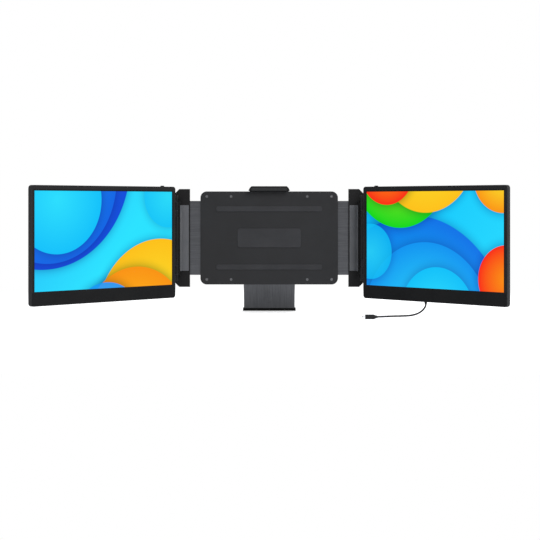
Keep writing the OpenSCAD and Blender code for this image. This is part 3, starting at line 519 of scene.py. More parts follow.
frameFinish = ((0.4, 0.52), 2600.0, 0.02, 0.5, (0.03, 0.03, 0.032), 0.04)
plastics = {  # dark and light tone, roughness, grain, its depth in millimetres, wear, worn tone, specular
    "leftFrame": (frameColours("left"), *frameFinish),
    "rightFrame": (frameColours("right"), *frameFinish),
    "coverPlastic": (((0.03, 0.03, 0.0309), (0.038, 0.038, 0.03914)), (0.5, 0.66), 1500.0, 0.05, 0.5,
                     (0.05, 0.05, 0.053), 0.04),
    "jawPlastic": (((0.0068, 0.0066, 0.0068), (0.0108, 0.0106, 0.0108)), (0.45, 0.6), 1500.0, 0.04, 0.7,
                   (0.04, 0.04, 0.042), 0.11),
    "hookPlastic": (hookPaintedLightColours, (0.45, 0.6), 1500.0, 0.04, 0.4, (0.03, 0.03, 0.032), 0.1),
    "bracketPlastic": (((0.012, 0.012, 0.013), (0.019, 0.019, 0.0205)), (0.5, 0.68), 1300.0, 0.06, 0.6,
                       (0.05, 0.05, 0.053), 0.2),
    "buttonPlastic": (((0.008, 0.008, 0.009), (0.013, 0.013, 0.014)), (0.35, 0.45), 2600.0, 0.02, 0.7,
                      (0.04, 0.04, 0.042), 0.2),
    "sleeveCoat": (((0.013, 0.013, 0.0145), (0.02, 0.02, 0.022)), (0.42, 0.56), 2200.0, 0.04, 0.9,
                   (0.09, 0.09, 0.095), 0.25),
    "hingeSteel": (((0.0065, 0.0065, 0.007), (0.011, 0.011, 0.0118)), (0.32, 0.44), 3000.0, 0.01, 1.0,
                   (0.1, 0.1, 0.105), 0.13),
    "silicone": (((0.085, 0.087, 0.093), (0.12, 0.122, 0.13)), (0.62, 0.75), 2400.0, 0.02, 0.3,
                 (0.17, 0.17, 0.18), 0.2),
    "padRubber": (((0.026, 0.026, 0.028), (0.04, 0.04, 0.043)), (0.7, 0.82), 1800.0, 0.06, 0.4,
                  (0.07, 0.07, 0.075), 0.15),
    "footRubber": (((0.007, 0.007, 0.007), (0.013, 0.013, 0.013)), (0.7, 0.85), 1600.0, 0.06, 0.5,
                   (0.04, 0.04, 0.04), 0.15),
    "cableRubber": (((0.005, 0.005, 0.0055), (0.009, 0.009, 0.0095)), (0.42, 0.54), 2600.0, 0.01, 0.2,
                    (0.02, 0.02, 0.02), 0.2),
    "plugPlastic": (((0.006, 0.006, 0.0065), (0.011, 0.011, 0.0115)), (0.45, 0.6), 2200.0, 0.03, 0.5,
                    (0.04, 0.04, 0.04), 0.2),
    "acetal": (((0.62, 0.62, 0.58), (0.74, 0.74, 0.7)), (0.35, 0.45), 900.0, 0.02, 0.1,
               (0.8, 0.8, 0.78), 0.4),
    "boardGreen": (((0.008, 0.09, 0.03), (0.014, 0.13, 0.045)), (0.25, 0.35), 500.0, 0.03, 0.1,
                   (0.1, 0.2, 0.1), 0.5),
    "ribbonFilm": (((0.42, 0.18, 0.02), (0.55, 0.25, 0.04)), (0.2, 0.3), 700.0, 0.01, 0.1,
                   (0.6, 0.3, 0.1), 0.5),
    "speakerPlastic": (((0.02, 0.02, 0.022), (0.03, 0.03, 0.033)), (0.4, 0.5), 1200.0, 0.03, 0.4,
                       (0.07, 0.07, 0.07), 0.4),
}
metals = {  # dark and light tone, roughness, and how dense the brushed lines are along each axis
    "brightSteel": (((0.5, 0.5, 0.52), (0.64, 0.64, 0.66)), (0.18, 0.3), (900.0, 900.0, 40.0)),
    "pinSteel": (((0.05, 0.05, 0.053), (0.08, 0.08, 0.084)), (0.35, 0.48), (900.0, 900.0, 40.0)),
    "screwSteel": (((0.09, 0.09, 0.095), (0.15, 0.15, 0.155)), (0.3, 0.42), (900.0, 40.0, 900.0)),
    "plateAluminium": (((0.062, 0.064, 0.07), (0.088, 0.09, 0.097)), (0.34, 0.46), (25.0, 900.0, 900.0)),
    "legAluminium": (((0.07, 0.072, 0.078), (0.098, 0.1, 0.107)), (0.32, 0.44), (900.0, 30.0, 30.0)),
    "backlightMetal": (((0.6, 0.6, 0.61), (0.72, 0.72, 0.73)), (0.35, 0.5), (30.0, 30.0, 900.0)),
    "socketMetal": (((0.42, 0.42, 0.44), (0.55, 0.55, 0.57)), (0.25, 0.35), (400.0, 400.0, 60.0)),
    "plugMetal": (((0.58, 0.58, 0.6), (0.7, 0.7, 0.72)), (0.16, 0.24), (40.0, 900.0, 900.0)),
}
looks = {name: mouldedPlastic(name, *finish) for name, finish in plastics.items()}
looks.update({name: metal(name, *finish) for name, finish in metals.items()})
looks.update({side + "Picture": litPanel(side + "Picture", side) for side in art})
print("materials made:", len(looks))


def paint(piece, look):
    piece.data.materials.clear()
    piece.data.materials.append(looks[look])


# camera and lights

cameraSet = {"place": (0.0093, -2.5192, 0.0614), "focal": 1332.8, "frame": 540, "axisColumn": 274.09,
             "axisRow": 205.48, "sensor": 36.0, "reach": 60.0}
lamps = {
    "keyLamp": {"place": (1.5, -1.9, 1.9), "size": 1.6, "power": 80.0},
    "fillLamp": {"place": (-1.8, -1.6, 1.1), "size": 1.6, "power": 5.0},
    "backLamp": {"place": (0.4, 1.7, 1.8), "size": 1.5, "power": 26.0},
}
lampAim = Vector((0.0, -0.05, 0.0))
surround = {"colour": (0.95, 0.97, 1.0), "level": 0.4}
floorSet = {"height": -0.1452, "size": 12.0, "colour": (0.86, 0.86, 0.87), "glow": 0.6, "fadeFrom": 0.5,
            "fadeTo": 0.95}


def makeCamera():
    size = cameraSet["frame"]
    data = bpy.data.cameras.new("studioCamera")
    data.sensor_width = cameraSet["sensor"]
    data.lens = cameraSet["focal"] * cameraSet["sensor"] / size
    data.shift_x = (size / 2 - cameraSet["axisColumn"]) / size
    data.shift_y = (cameraSet["axisRow"] - size / 2) / size
    data.clip_end = cameraSet["reach"]
    camera = bpy.data.objects.new("studioCamera", data)
    bpy.context.collection.objects.link(camera)
    camera.location = cameraSet["place"]
    camera.rotation_euler = (math.radians(90), 0.0, 0.0)
    bpy.context.scene.camera = camera


def makeLamps():
    for name, lamp in lamps.items():
        data = bpy.data.lights.new(name, "AREA")
        data.size = lamp["size"]
        data.energy = lamp["power"]
        lampObject = bpy.data.objects.new(name, data)
        bpy.context.collection.objects.link(lampObject)
        lampObject.location = lamp["place"]
        aim = lampAim - Vector(lamp["place"])
        lampObject.rotation_euler = aim.to_track_quat("-Z", "Y").to_euler()


def seenDirectly(tree):  # camera, glossy and transmission rays see the white backdrop
    rays = addNode(tree, "LightPath").outputs
    mirror = addMath(tree, "MAXIMUM", rays["Is Glossy Ray"], rays["Is Transmission Ray"])
    return addMath(tree, "MAXIMUM", rays["Is Camera Ray"], mirror)


def mixShaders(tree, factor, first, second):
    return addNode(tree, "MixShader", {"Fac": factor, 1: first, 2: second}).outputs[0]


def makeWorld():
    world = bpy.data.worlds.new("studioWorld")
    bpy.context.scene.world = world
    world.use_nodes = True
    tree = world.node_tree
    tree.nodes.clear()
    soft = addNode(tree, "Background", {"Color": surround["colour"], "Strength": surround["level"]})
    white = addNode(tree, "Background", {"Color": (1.0, 1.0, 1.0)})
    mix = mixShaders(tree, seenDirectly(tree), soft.outputs[0], white.outputs[0])
    addNode(tree, "OutputWorld", {"Surface": mix})


def makeFloor():  # it fades into the white backdrop away from the object
    bpy.ops.mesh.primitive_plane_add(size=floorSet["size"], location=(0.0, 0.0, floorSet["height"]))
    floor = bpy.context.object
    floor.name = "studioFloor"
    material, tree, shader, place = newMaterial("studioFloor")
    feed(tree, shader, {"Base Color": floorSet["colour"], "Roughness": 0.9, "Specular IOR Level": 0.0})
    seen = seenDirectly(tree)
    glow, black, white = (addNode(tree, "Emission", {"Strength": strength}).outputs[0]
                          for strength in (floorSet["glow"], 0.0, 1.0))
    lit = mixShaders(tree, seen, black, glow)
    both = addNode(tree, "AddShader", {0: shader.outputs[0], 1: lit}).outputs[0]
    away = mapRange(tree, addVectorMath(tree, "LENGTH", place), floorSet["fadeFrom"], floorSet["fadeTo"],
                    kind="SMOOTHSTEP")
    fade = mixShaders(tree, addMath(tree, "MULTIPLY", away, seen), both, white)
    feed(tree, tree.nodes["Material Output"], {"Surface": fade})
    floor.data.materials.append(material)


makeCamera()
makeLamps()
makeWorld()
makeFloor()
bpy.context.scene.view_settings.view_transform = "Standard"
print("camera, lamps and floor made")


# the cable from the right screen to its plug

cable = {
    "diameter": 3.2, "hole": 1.8,
    "route": [
        (282, -123.2, -115.9), (281.93, -123.18, -117.3), (281.53, -123.05, -119.2), (280.68, -122.75, -121.3),
        (279.4, -122.3, -123.5), (277.65, -121.7, -125.8), (275.4, -120.9, -128.1), (272.7, -119.95, -130.3),
        (269.4, -118.75, -132.4), (265.1, -117.2, -134.4), (259.8, -115.2, -136.1), (253.6, -112.8, -137.3),
        (247, -110.4, -138), (240, -107.9, -138.5), (232.6, -105.2, -138.9), (225.2, -102.7, -139.3),
        (217.9, -100.4, -139.8), (210.9, -98.6, -140.3), (204.3, -97.3, -140.7), (198, -96.5, -141),
    ],
}


def routeLength(points):
    return sum((Vector(b) - Vector(a)).length for a, b in zip(points, points[1:])) * mm


def makeCable():
    curve = bpy.data.curves.new("usbCable", "CURVE")
    curve.dimensions = "3D"
    spline = curve.splines.new("BEZIER")
    spline.bezier_points.add(len(cable["route"]) - 1)
    for point, place in zip(spline.bezier_points, cable["route"]):
        point.co = Vector(place) * mm
        point.handle_left_type = "AUTO"
        point.handle_right_type = "AUTO"
    spline.resolution_u = 6
    curve.bevel_depth = cable["diameter"] / 2 * mm
    curve.bevel_resolution = 6
    curve.use_fill_caps = True
    piece = bpy.data.objects.new("usbCable", curve)
    bpy.context.collection.objects.link(piece)
    curve.materials.append(looks["cableRubber"])
    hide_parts("usb_cable")
    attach(piece, "right_screen")
    return piece


# Rib parts are a rib and a groove: how much thinner each is, and its middle and length as shares of a step.
boot = {"x": 147.9, "y": 5.5, "collar": 2.5, "collarRadius": 2.5, "length": 4, "ribs": 2, "ribRadius": 2.3,
        "taper": 0.16, "ribParts": ((0, 0.65, 0.7), (0.3, 0.15, 0.32)), "edge": 0.12}


def makeBoot():
    bottom = screen["bottom"]
    piece = addRod("cableBoot", (0, 0, bottom + screen["wall"] / 2), cable["hole"], screen["wall"])
    parts = [addRod("collar", (0, 0, bottom - boot["collar"] / 2), boot["collarRadius"], boot["collar"])]
    step = (boot["length"] - boot["collar"]) / boot["ribs"]
    for k in range(boot["ribs"]):
        low = bottom - boot["collar"] - step * (k + 1)
        for thinner, middle, share in boot["ribParts"]:
            radius = boot["ribRadius"] - boot["taper"] * k - thinner
            parts.append(addRod("rib", (0, 0, low + step * middle), radius, step * share))
    uniteWith(piece, parts)
    piece.data.transform(Matrix.Translation((boot["x"] * mm, boot["y"] * mm, 0)))
    soften(piece, boot["edge"], 2)
    placeOnScreen(piece, "right")
    finishPiece(piece, "cableRubber", "cable_rubber", "cable_boot")


plug = {"tail": 6, "body": 17, "width": 12, "height": 8, "corner": 2.6, "endRound": 1.2, "grooves": 5,
        "grooveFrom": 4.2, "grooveStep": 1.7, "grooveHalf": (0.4, 3.6, 0.35), "ribs": 4, "ribRadius": 3.3,
        "taper": 0.42, "ribParts": ((0, 0.33, 0.66), (0.4, 0.5, 1)), "edge": 0.14}


def makePlug():
    end = Vector(cable["route"][-1])
    right = end.x - plug["tail"]
    wide, high = plug["width"] / 2, plug["height"] / 2
    piece = addBox("usbPlug", (right - plug["body"], end.y - wide, end.z - high),
                   (right, end.y + wide, end.z + high))
    roundEdges(piece, along(0), plug["corner"], 6)
    roundEdges(piece, atPlane(0, right), plug["endRound"], 4)
    half = Vector(plug["grooveHalf"])
    cutters = []
    for k in range(plug["grooves"]):  # finger grooves across both flat faces
        for z in (end.z - high, end.z + high):
            middle = Vector((right - plug["grooveFrom"] - plug["grooveStep"] * k, end.y, z))
            cutters.append(addBox("groove", middle - half, middle + half))
    cutWith(piece, cutters)
    tail = []
    step = plug["tail"] / plug["ribs"]
    for k in range(plug["ribs"]):
        for thinner, middle, share in plug["ribParts"]:
            place = (right + step * (k + middle), end.y, end.z)
            radius = plug["ribRadius"] - plug["taper"] * k - thinner
            tail.append(addRod("tailRib", place, radius, step * share, (0, 90, 0)))
    uniteWith(piece, tail)
    soften(piece, plug["edge"], 2)
    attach(piece, "right_screen")
    finishPiece(piece, "plugPlastic", "plug_plastic", "usb_plug")
    return piece


cablePiece = makeCable()
makeBoot()
plugPiece = makePlug()
print("cable made, length", round(routeLength(cable["route"]), 4))


# the front frame of each screen

def roundedPlate(name, inset, front, back):
    plate = addBox(name, (screen["inner"] + inset, front, screen["bottom"] + inset),
                   (screen["outer"] - inset, back, screen["top"] - inset))
    roundEdges(plate, along(1), max(screen["corner"] - inset, screen["leastCorner"]), 8)
    return plate


def makeBezel(side):
    piece = roundedPlate(side + "FrontFrame", 0, 0, screen["frameDepth"])
    pick(piece, "FACE", atPlane(1, 0))
    bpy.ops.mesh.inset(thickness=screen["rim"] * mm)
    bpy.ops.mesh.extrude_region_move(TRANSFORM_OT_translate={"value": (0, screen["rimHeight"] * mm, 0)})
    objectMode()
    opening = addBox("opening", (window["left"], -over, window["bottom"]),
                     (window["right"], screen["frameDepth"] + over, window["top"]))
    cutWith(piece, [opening])
    soften(piece, screen["edge"])
    placeOnScreen(piece, side)
    finishPiece(piece, side + "Frame", "bezel_plastic", side + "_bezel")


# the rear cover of each screen, with its vents, screw seats and openings

cover = {
    "backRound": 1.6, "screwSeat": 1.7, "seatDepth": 0.8, "boardStart": 129.6, "boardWidth": 123.2,
    "screwInset": 16, "screwSunk": 0.05, "boardScrew": 10, "topScrew": 92.5, "bottomScrew": -100.95,
    "buttonX": 30.5, "buttonY": 6.2, "buttonWide": 8.4, "buttonDeep": 2.6,
    "portFront": 4.9, "ports": ((167.6, 4.5, 1.3), (191.6, 5.6, 0.5)),  # middle, half the width and corner
    "speakers": (36.6, 269.2), "speakerHalf": 3,
    "speakerSlots": {"count": 5, "step": 6, "wide": 2, "radius": 0.9, "segments": 4},
    "ventFrom": 15.1, "ventLow": 6, "ventTall": 16,
    "vents": {"count": 11, "step": 9, "wide": 3, "radius": 1.4, "segments": 5},
    "leaves": (-80, -52, 40, 68), "leafTall": 12, "leafFront": 5.4, "leafBack": 6.6,
    "lineInset": 20, "lineWide": 1.0, "lineDeep": 0.35, "edge": 0.18,
}


def screwSpots():
    first, last = screen["inner"] + cover["screwInset"], screen["outer"] - cover["screwInset"]
    beforeBoard = cover["boardStart"] - cover["boardScrew"]
    afterBoard = cover["boardStart"] + cover["boardWidth"] + cover["boardScrew"]
    top = [(x, cover["topScrew"]) for x in (first, (first + last) / 2, last)]
    return top + [(x, cover["bottomScrew"]) for x in (first, beforeBoard, afterBoard, last)]


def makeRearCover(side):
    back, top, bottom = screen["depth"], screen["top"], screen["bottom"]
    inside, wall = back - screen["back"], screen["wall"]
    through = (inside - over, back + over)
    piece = roundedPlate(side + "RearCover", 0, screen["frameDepth"], back)
    roundEdges(piece, atPlane(1, back), cover["backRound"], 5)
    cutWith(piece, [roundedPlate("hollow", wall, 0, inside)])
    holes = [addRod("seat", (x, back, z), cover["screwSeat"], 2 * cover["seatDepth"], (90, 0, 0), 32)
             for x, z in screwSpots()]
    x, y = cover["buttonX"], cover["buttonY"]
    wide, deep = cover["buttonWide"] / 2, cover["buttonDeep"] / 2
    holes.append(addBox("buttonHole", (x - wide, y - deep, top - wall - over),
                        (x + wide, y + deep, top + over)))
    for x, half, corner in cover["ports"]:
        holes.append(addSlot((x - half, cover["portFront"], bottom - over),
                             (x + half, inside, bottom + wall + over), corner, axis=2))
    low, half = cover["bottomScrew"], cover["speakerHalf"]
    for first in cover["speakers"]:
        holes += addSlots(first, through, (low - half, low + half), **cover["speakerSlots"])
    low = window["bottom"] + cover["ventLow"]
    holes += addSlots(cover["boardStart"] + cover["ventFrom"], through, (low, low + cover["ventTall"]),
                      **cover["vents"])
    if side == "right":
        holes.append(addRod("cableHole", (boot["x"], boot["y"], bottom), cable["hole"], 2 * (wall + over)))
    for low in cover["leaves"]:
        holes.append(addBox("leafSlot", (screen["inner"] - over, cover["leafFront"], low),
                            (screen["inner"] + wall + over, cover["leafBack"], low + cover["leafTall"])))
    inset = cover["lineInset"]  # a shadow line round the middle of the back
    line = roundedPlate("shadowLine", inset, back - cover["lineDeep"], back + over)
    cutWith(line, [roundedPlate("lineInside", inset + cover["lineWide"], back - 2 * over, back + 2 * over)])
    holes.append(line)
    cutWith(piece, holes)
    soften(piece, cover["edge"], 2)
    placeOnScreen(piece, side)
    finishPiece(piece, "coverPlastic", "cover_plastic", side + "_rear_cover")


button = {"wide": 8, "deep": 2.2, "proud": 1.8, "flange": 0.9, "flangeThick": 1, "gap": 0.1, "crown": 1.7,
          "edge": 0.22}


def makeButton(side):
    top = screen["top"]
    low = top - screen["wall"] - button["gap"] - button["flangeThick"]
    x, y = cover["buttonX"], cover["buttonY"]
    half, deep = button["wide"] / 2, button["deep"] / 2
    wide = half + button["flange"]
    piece = addBox(side + "PowerKey", (x - half, y - deep, low), (x + half, y + deep, top + button["proud"]))
    roundEdges(piece, lambda ends: along(1)(ends) and ends[0].z > top, button["crown"], 8)
    flange = addBox("flange", (x - wide, y - deep, low), (x + wide, y + deep, low + button["flangeThick"]))
    uniteWith(piece, [flange])
    soften(piece, button["edge"])
    placeOnScreen(piece, side, side + "_key")
    finishPiece(piece, "buttonPlastic", "button_plastic", side + "_button")


for side in ("left", "right"):
    makeBezel(side)
    makeRearCover(side)
    makeButton(side)
print("screens made")


# screws: one is modelled, and its copies stand where the others are

screws = {
    "housing": {"head": 2.5, "thick": 0.8, "cross": 3.0, "slot": 0.62, "shank": 1.24, "length": 9},
    "bar": {"head": 2.5, "thick": 0.9, "cross": 3.0, "slot": 0.62, "shank": 1.24, "length": 2.6},
    "cover": {"head": 1.6, "thick": 0.75, "cross": 1.9, "slot": 0.42, "shank": 0.8, "length": 6.1},
    "crossShare": 0.6, "edge": 0.14, "sharpAngle": 40,
}


def makeScrew(kind):  # the head's face is at the origin and looks along -Y
    size = screws[kind]
    thick = size["thick"]
    head = addRod("screwHead", (0, thick / 2, 0), size["head"], thick, (90, 0, 0), 40)
    long, thin = size["cross"] / 2, size["slot"] / 2
    deep = thick * screws["crossShare"]
    arms = [addBox("crossArm", (-x, -over, -z), (x, deep, z)) for x, z in ((long, thin), (thin, long))]
    cutWith(head, arms)
    breakEdges(head, screws["edge"], 3)
    shank = addRod("shank", (0, thick + size["length"] / 2, 0), size["shank"], size["length"], (90, 0, 0), 24)
    screw = joinUp([head, shank], "screw")
    smooth(screw, screws["sharpAngle"])
    return screw


def placeScrews(name, kind, spots, turns, backwards=0):  # spots are where the heads' faces are
    screw = makeScrew(kind)
    copies = []
    for place, turn in zip(spots, turns):  # each cross stands at its own angle
        copy = screw.copy()
        copy.data = screw.data.copy()
        bpy.context.collection.objects.link(copy)
        turned = Matrix.Rotation(math.pi * backwards, 4, "Z") @ Matrix.Rotation(math.radians(turn), 4, "Y")
        copy.matrix_world = Matrix.Translation(Vector(place) * mm) @ turned
        copies.append(copy)
    bpy.data.objects.remove(screw)
    piece = joinUp(copies, name)
    applyAll(piece)
    return piece


bracket = {
    "half": 130, "tall": 88, "corner": 12, "front": 3, "back": 19, "wall": 3, "backWall": 2, "backRound": 3.2,
    "screwX": (118, 72), "screwZ": 78.5, "screwFace": 1.1, "barScrewX": 156, "barScrewZ": (-45, 0, 45),
    "barBack": 8, "recessHalf": 60.5, "recessTop": 38, "recessFloor": 12.5, "recessWall": 1.5,
    "recessCorner": 3, "trayLift": 0.01, "trayBack": 0.5, "slotHalf": 71, "slotBack": 6.9, "stemHalf": 37.2,
    "stemBack": 6.4, "ventFrom": -73.5, "ventHeight": (52, 68), "ventDeep": 4, "edge": 0.35,
    "vents": {"count": 17, "step": 9, "wide": 3, "radius": 1.45, "segments": 5},
}


def makeHousing():
    half, tall, front, back = (bracket[size] for size in ("half", "tall", "front", "back"))
    wall, top = bracket["wall"], bracket["recessTop"]
    piece = addBox("bracketHousing", (-half, front, -tall), (half, back, tall))
    roundEdges(piece, along(1), bracket["corner"], 12)
    roundEdges(piece, atPlane(1, back), bracket["backRound"], 6)
    hollow = addSlot((-half + wall, front - over, -tall + wall),
                     (half - wall, back - bracket["backWall"], tall - wall), bracket["corner"] - wall, 10)
    cutWith(piece, [hollow])
    recess, thick = bracket["recessHalf"], bracket["recessWall"]
    tray = addBox("tray", (-recess - thick, bracket["recessFloor"] - thick, -tall + bracket["trayLift"]),
                  (recess + thick, back - bracket["trayBack"], top + thick))
    uniteWith(piece, [tray])
    well = addBox("well", (-recess, bracket["recessFloor"], -tall - over), (recess, back + over, top))
    roundEdges(well, lambda ends: along(1)(ends) and ends[0].z > 0, bracket["recessCorner"], 6)
    cuts = [well,
            addBox("armSlot", (-half - over, front - over, -bracket["slotHalf"]),
                   (half + over, bracket["slotBack"], bracket["slotHalf"])),
            addBox("stemSlot", (-bracket["stemHalf"], front - over, tall - wall - over),
                   (bracket["stemHalf"], bracket["stemBack"], tall + over))]
    cuts += addSlots(bracket["ventFrom"], (back - bracket["ventDeep"], back + over), bracket["ventHeight"],
                     **bracket["vents"])
    cutWith(piece, cuts)
    soften(piece, bracket["edge"])
    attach(piece, "bracket")
    finishPiece(piece, "bracketPlastic", "bracket_plastic", "rear_housing")


def makeScrews():
    spots = [(sx * x, bracket["screwFace"], sz * bracket["screwZ"])
             for sx in (-1, 1) for sz in (-1, 1) for x in bracket["screwX"]]
    piece = placeScrews("housingScrews", "housing", spots, (12, 51, 33, 78, 20, 64, 40, 5))
    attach(piece, "bracket")
    finishPiece(piece, "screwSteel", "screw_steel", "housing_screws")
    for side, sign in (("left", -1), ("right", 1)):
        spots = [(sign * bracket["barScrewX"], bracket["barBack"], z) for z in bracket["barScrewZ"]]
        piece = placeScrews(side + "BarScrews", "bar", spots, (25, 70, 48), 1)
        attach(piece, side + "_arm")
        finishPiece(piece, "screwSteel", "screw_steel", side + "_bar_screws")
        spots = [(x, screen["depth"] - cover["screwSunk"], z) for x, z in screwSpots()]
        piece = placeScrews(side + "CoverScrews", "cover", spots, (18, 60, 35, 80, 10, 52, 27), 1)
        placeOnScreen(piece, side)
        finishPiece(piece, "screwSteel", "screw_steel", side + "_cover_screws")


makeHousing()
makeScrews()
print("bracket housing and screws made")


# the kickstand is built hanging down from its pivot, and then swung out

stand = {"swing": 25, "deskDrop": 175}
sleeve = {
    "half": 59, "long": 114, "deep": 6, "topFlat": 0.02, "cavityHalf": 50, "cavityDeep": 3.2, "cavityTop": 15,
    "pinHole": 1.55, "pinFrom": 51, "pinDeep": 10, "notch": 13, "grips": 3, "gripHalf": 30, "gripLow": -92,
    "gripStep": 6, "gripWide": 2, "gripDeep": 0.4, "gripRound": 0.9, "line": 54.5, "lineHalf": 0.6,
    "lineDeep": 0.35, "lineLow": -108, "lineHigh": -9, "lineRound": 0.55, "edge": 0.4,
}
leg = {
    "half": 49.7, "deep": 2.8, "low": -187.09, "long": 94, "dimples": 7, "dimpleStep": 12, "dimple": 1.7,
    "dimpleDeep": 0.9, "marks": 13, "markStep": 6, "markLong": (6, 3.5), "markInset": 4, "markDeep": 0.12,
    "markHalf": 0.25, "firstMark": 14, "edge": 0.3,
}
foot = {"half": 51.7, "deep": 5.6, "tall": 9, "corner": 1.0, "treads": (-1.4, 0, 1.4), "treadDeep": 0.5,
        "treadInset": 4, "grooves": (1.9, 3.4), "grooveHalf": 0.3, "grooveDeep": 0.35, "grooveInset": 3,
        "edge": 0.22}


def placeOnStand(piece, body):
    piece.matrix_world = (Matrix.Translation(hingeSpot["kickstand_hinge"])
                          @ Matrix.Rotation(math.radians(stand["swing"]), 4, "X"))
    applyAll(piece)
    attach(piece, body)


def makeSleeve():
    half, deep, low = sleeve["half"], sleeve["deep"] / 2, -sleeve["long"]
    piece = addBox("kickstandSleeve", (-half, -deep, low), (half, deep, deep))
    roundEdges(piece, atPlane(2, deep), deep - sleeve["topFlat"], 8)
    cavity, wide = sleeve["cavityDeep"] / 2, sleeve["cavityHalf"]
    cuts = [addBox("cavity", (-wide, -cavity, low - over), (wide, cavity, -sleeve["cavityTop"])),
            addRod("notch", (0, deep, low), sleeve["notch"], 2 * (deep - cavity + over), (90, 0, 0), 64)]
    wide, start = sleeve["gripHalf"], deep - sleeve["gripDeep"]
    for k in range(sleeve["grips"]):  # shallow grooves for the thumb, above the notch
        z = sleeve["gripLow"] + sleeve["gripStep"] * k
        cuts.append(addSlot((-wide, start, z), (wide, deep + over, z + sleeve["gripWide"]),
                            sleeve["gripRound"]))
    thin, start = sleeve["lineHalf"], deep - sleeve["lineDeep"]
    for sign in (-1, 1):
        middle = sign * (sleeve["pinFrom"] + sleeve["pinDeep"] / 2)
        cuts.append(addRod("pinHole", (middle, 0, 0), sleeve["pinHole"], sleeve["pinDeep"], (0, 90, 0), 32))
        x = sign * sleeve["line"]
        cuts.append(addSlot((x - thin, start, sleeve["lineLow"]), (x + thin, deep + over, sleeve["lineHigh"]),
                            sleeve["lineRound"]))
    cutWith(piece, cuts)
    soften(piece, sleeve["edge"])
    placeOnStand(piece, "kickstand")
    finishPiece(piece, "sleeveCoat", "stand_metal", "kickstand_sleeve")


def makeLeg():
    half, deep, low = leg["half"], leg["deep"] / 2, leg["low"]
    first, thin, cut = low + leg["firstMark"], leg["markHalf"], leg["markDeep"]
    piece = addBox("kickstandLeg", (-half, -deep, low), (half, deep, low + leg["long"]))
    cuts = []
    for face in (-deep, deep):
        for k in range(leg["dimples"]):  # the catch drops into them
            place = (0, face, first + leg["dimpleStep"] * k)
            cuts.append(addRod("dimple", place, leg["dimple"], leg["dimpleDeep"], (90, 0, 0), 32))
        for sign in (-1, 1):  # marks of the leg's length
            for k in range(leg["marks"]):
                start = half - leg["markInset"]
                left, right = sorted((sign * start, sign * (start - leg["markLong"][k % 2])))
                z = first + leg["markStep"] * k
                cuts.append(addBox("mark", (left, face - cut, z - thin), (right, face + cut, z + thin)))
    cutWith(piece, cuts)
    soften(piece, leg["edge"])
    placeOnStand(piece, "stand_leg")
    finishPiece(piece, "legAluminium", "leg_aluminium", "kickstand_leg")


def makeFoot():  # its sole is level with the desk
    half, deep, top = foot["half"], foot["deep"] / 2, leg["low"]
    swing = math.radians(stand["swing"])
    piece = addBox("kickstandFoot", (-half, -deep, top - foot["tall"]), (half, deep, top))
    soleAt = -stand["deskDrop"] / math.cos(swing)
    editAll(piece)
    bpy.ops.mesh.bisect(plane_co=(0, 0, soleAt * mm), plane_no=(0, -math.sin(swing), -math.cos(swing)),
                        use_fill=True, clear_outer=True)
    objectMode()
    roundEdges(piece, along(1), foot["corner"], 5)
    thin, cut = foot["grooveHalf"], foot["grooveDeep"]
    cuts = []
    long = half - foot["treadInset"]
    for y in foot["treads"]:
        sole = soleAt - math.tan(swing) * y
        tread = addBox("tread", (-long, y - thin, sole - over), (long, y + thin, sole + foot["treadDeep"]))
        cuts.append(tread)
    long = half - foot["grooveInset"]
    for face in (-deep, deep):
        for z in (top - drop for drop in foot["grooves"]):
            cuts.append(addBox("groove", (-long, face - cut, z - thin), (long, face + cut, z + thin)))
    cutWith(piece, cuts)
    soften(piece, foot["edge"])
    placeOnStand(piece, "stand_leg")
    finishPiece(piece, "footRubber", "foot_rubber", "kickstand_foot")


makeSleeve()
makeLeg()
makeFoot()
print("kickstand made")


# the plates that slide in the bracket, marked for the lid's width

plate = {
    "inner": 60, "outer": 162, "front": 4, "back": 6.5, "half": 70, "slotStart": 80, "slotWide": 38,
    "slotHalf": 9, "slotSpots": (-36, 36), "slotRound": 6, "screwHole": 1.25, "markFrom": 102, "markTo": 160,
    "markStep": 5, "markDeep": 0.15, "markHalf": 0.25, "markLong": (7, 4), "edge": 0.3,
    "cutter": (0, 10),  # where the cutters of holes and slots start and end in Y
}


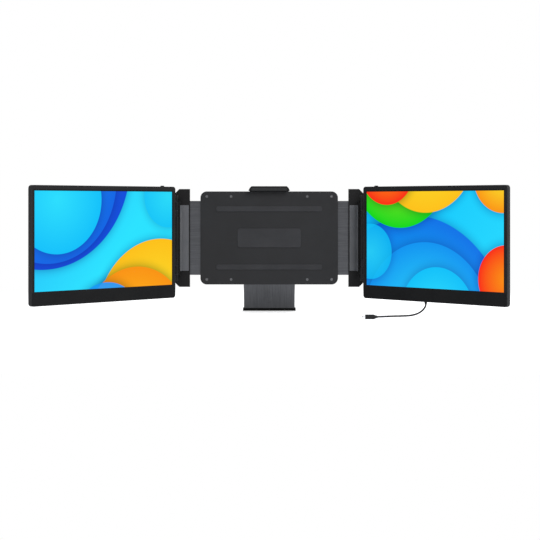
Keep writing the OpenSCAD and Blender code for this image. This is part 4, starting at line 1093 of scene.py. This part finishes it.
def makeArmPlate(side, sign):
    half, front, back, cut, thin = (plate[size] for size in ("half", "front", "back", "markDeep", "markHalf"))
    piece = addBox(side + "ArmPlate", (plate["inner"], front, -half), (plate["outer"], back, half))
    near, far = plate["cutter"]
    cuts = []
    for z in bracket["barScrewZ"]:
        place = (bracket["barScrewX"], (near + far) / 2, z)
        cuts.append(addRod("screwHole", place, plate["screwHole"], far - near, (90, 0, 0), 24))
    for z in plate["slotSpots"]:
        cuts.append(addSlot((plate["slotStart"], near, z - plate["slotHalf"]),
                            (plate["slotStart"] + plate["slotWide"], far, z + plate["slotHalf"]),
                            plate["slotRound"], 8))
    for k, x in enumerate(range(plate["markFrom"], plate["markTo"] + 1, plate["markStep"])):
        start = half - plate["markLong"][k % 2]
        for face in (front, back):
            for low, high in ((start, half + over), (-half - over, -start)):
                cuts.append(addBox("mark", (x - thin, face - cut, low), (x + thin, face + cut, high)))
    cutWith(piece, cuts)
    soften(piece, plate["edge"])
    if sign < 0:
        piece.matrix_world = Matrix.Scale(-1, 4, (1, 0, 0))
        applyAll(piece)
        faceOutwards(piece)
    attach(piece, side + "_arm")
    finishPiece(piece, "plateAluminium", "plate_aluminium", side + "_arm_plate")


makeArmPlate("left", -1)
makeArmPlate("right", 1)
print("arm plates made")


# the CAD nodes whose shape is right get their finish, and the small radius of their edges

nodeLooks = {
    "front_cover": ("bracketPlastic", 0.5), "lid_pads": ("padRubber", 0.25),
    "top_hook": ("hookPlastic", 0.45), "hook_pad": ("silicone", 0.12), "guide_rods": ("brightSteel", 0.2),
    "sync_pinion": ("acetal", 0), "pinion_axle": ("brightSteel", 0.15),
    "kickstand_pins": ("brightSteel", 0.15), "usb_plug_shell": ("plugMetal", 0.06),
}
sideLooks = {
    "arm_bar": ("jawPlastic", 0.45), "jaw_pad": ("silicone", 0.12),
    "arm_hinge": ("hingeSteel", 0.3), "hinge_pins": ("pinSteel", 0.2), "rack": ("acetal", 0),
    "slide_blocks": ("acetal", 0.3), "backlight": ("backlightMetal", 0),
    "driver_board": ("boardGreen", 0), "ribbon": ("ribbonFilm", 0), "port_sockets": ("socketMetal", 0.06),
    "speakers": ("speakerPlastic", 0.3), "screen_hinge": ("hingeSteel", 0.25),
    "button_switch": ("socketMetal", 0.1),
}
for side in ("left", "right"):
    nodeLooks.update({side + "_" + name: look for name, look in sideLooks.items()})
    nodeLooks[side + "_panel"] = (side + "Picture", 0)
nodeEdge = {"weld": 2 * tiny, "flat": 0.6, "segments": 3, "sharpAngle": 35}


def dressNode(name, look, width):
    piece = frame["nodes"][name]
    for slot in piece.material_slots:
        slot.material = looks[look]
    if width:
        addModifier(piece, "WELD", merge_threshold=nodeEdge["weld"] * mm)
        addModifier(piece, "DECIMATE", decimate_type="DISSOLVE", angle_limit=math.radians(nodeEdge["flat"]))
        addModifier(piece, "BEVEL", width=width * mm, segments=nodeEdge["segments"], limit_method="ANGLE",
                    angle_limit=math.radians(nodeEdge["sharpAngle"]), harden_normals=True)


for name, (look, width) in nodeLooks.items():
    dressNode(name, look, width)
print("CAD nodes dressed:", len(nodeLooks))
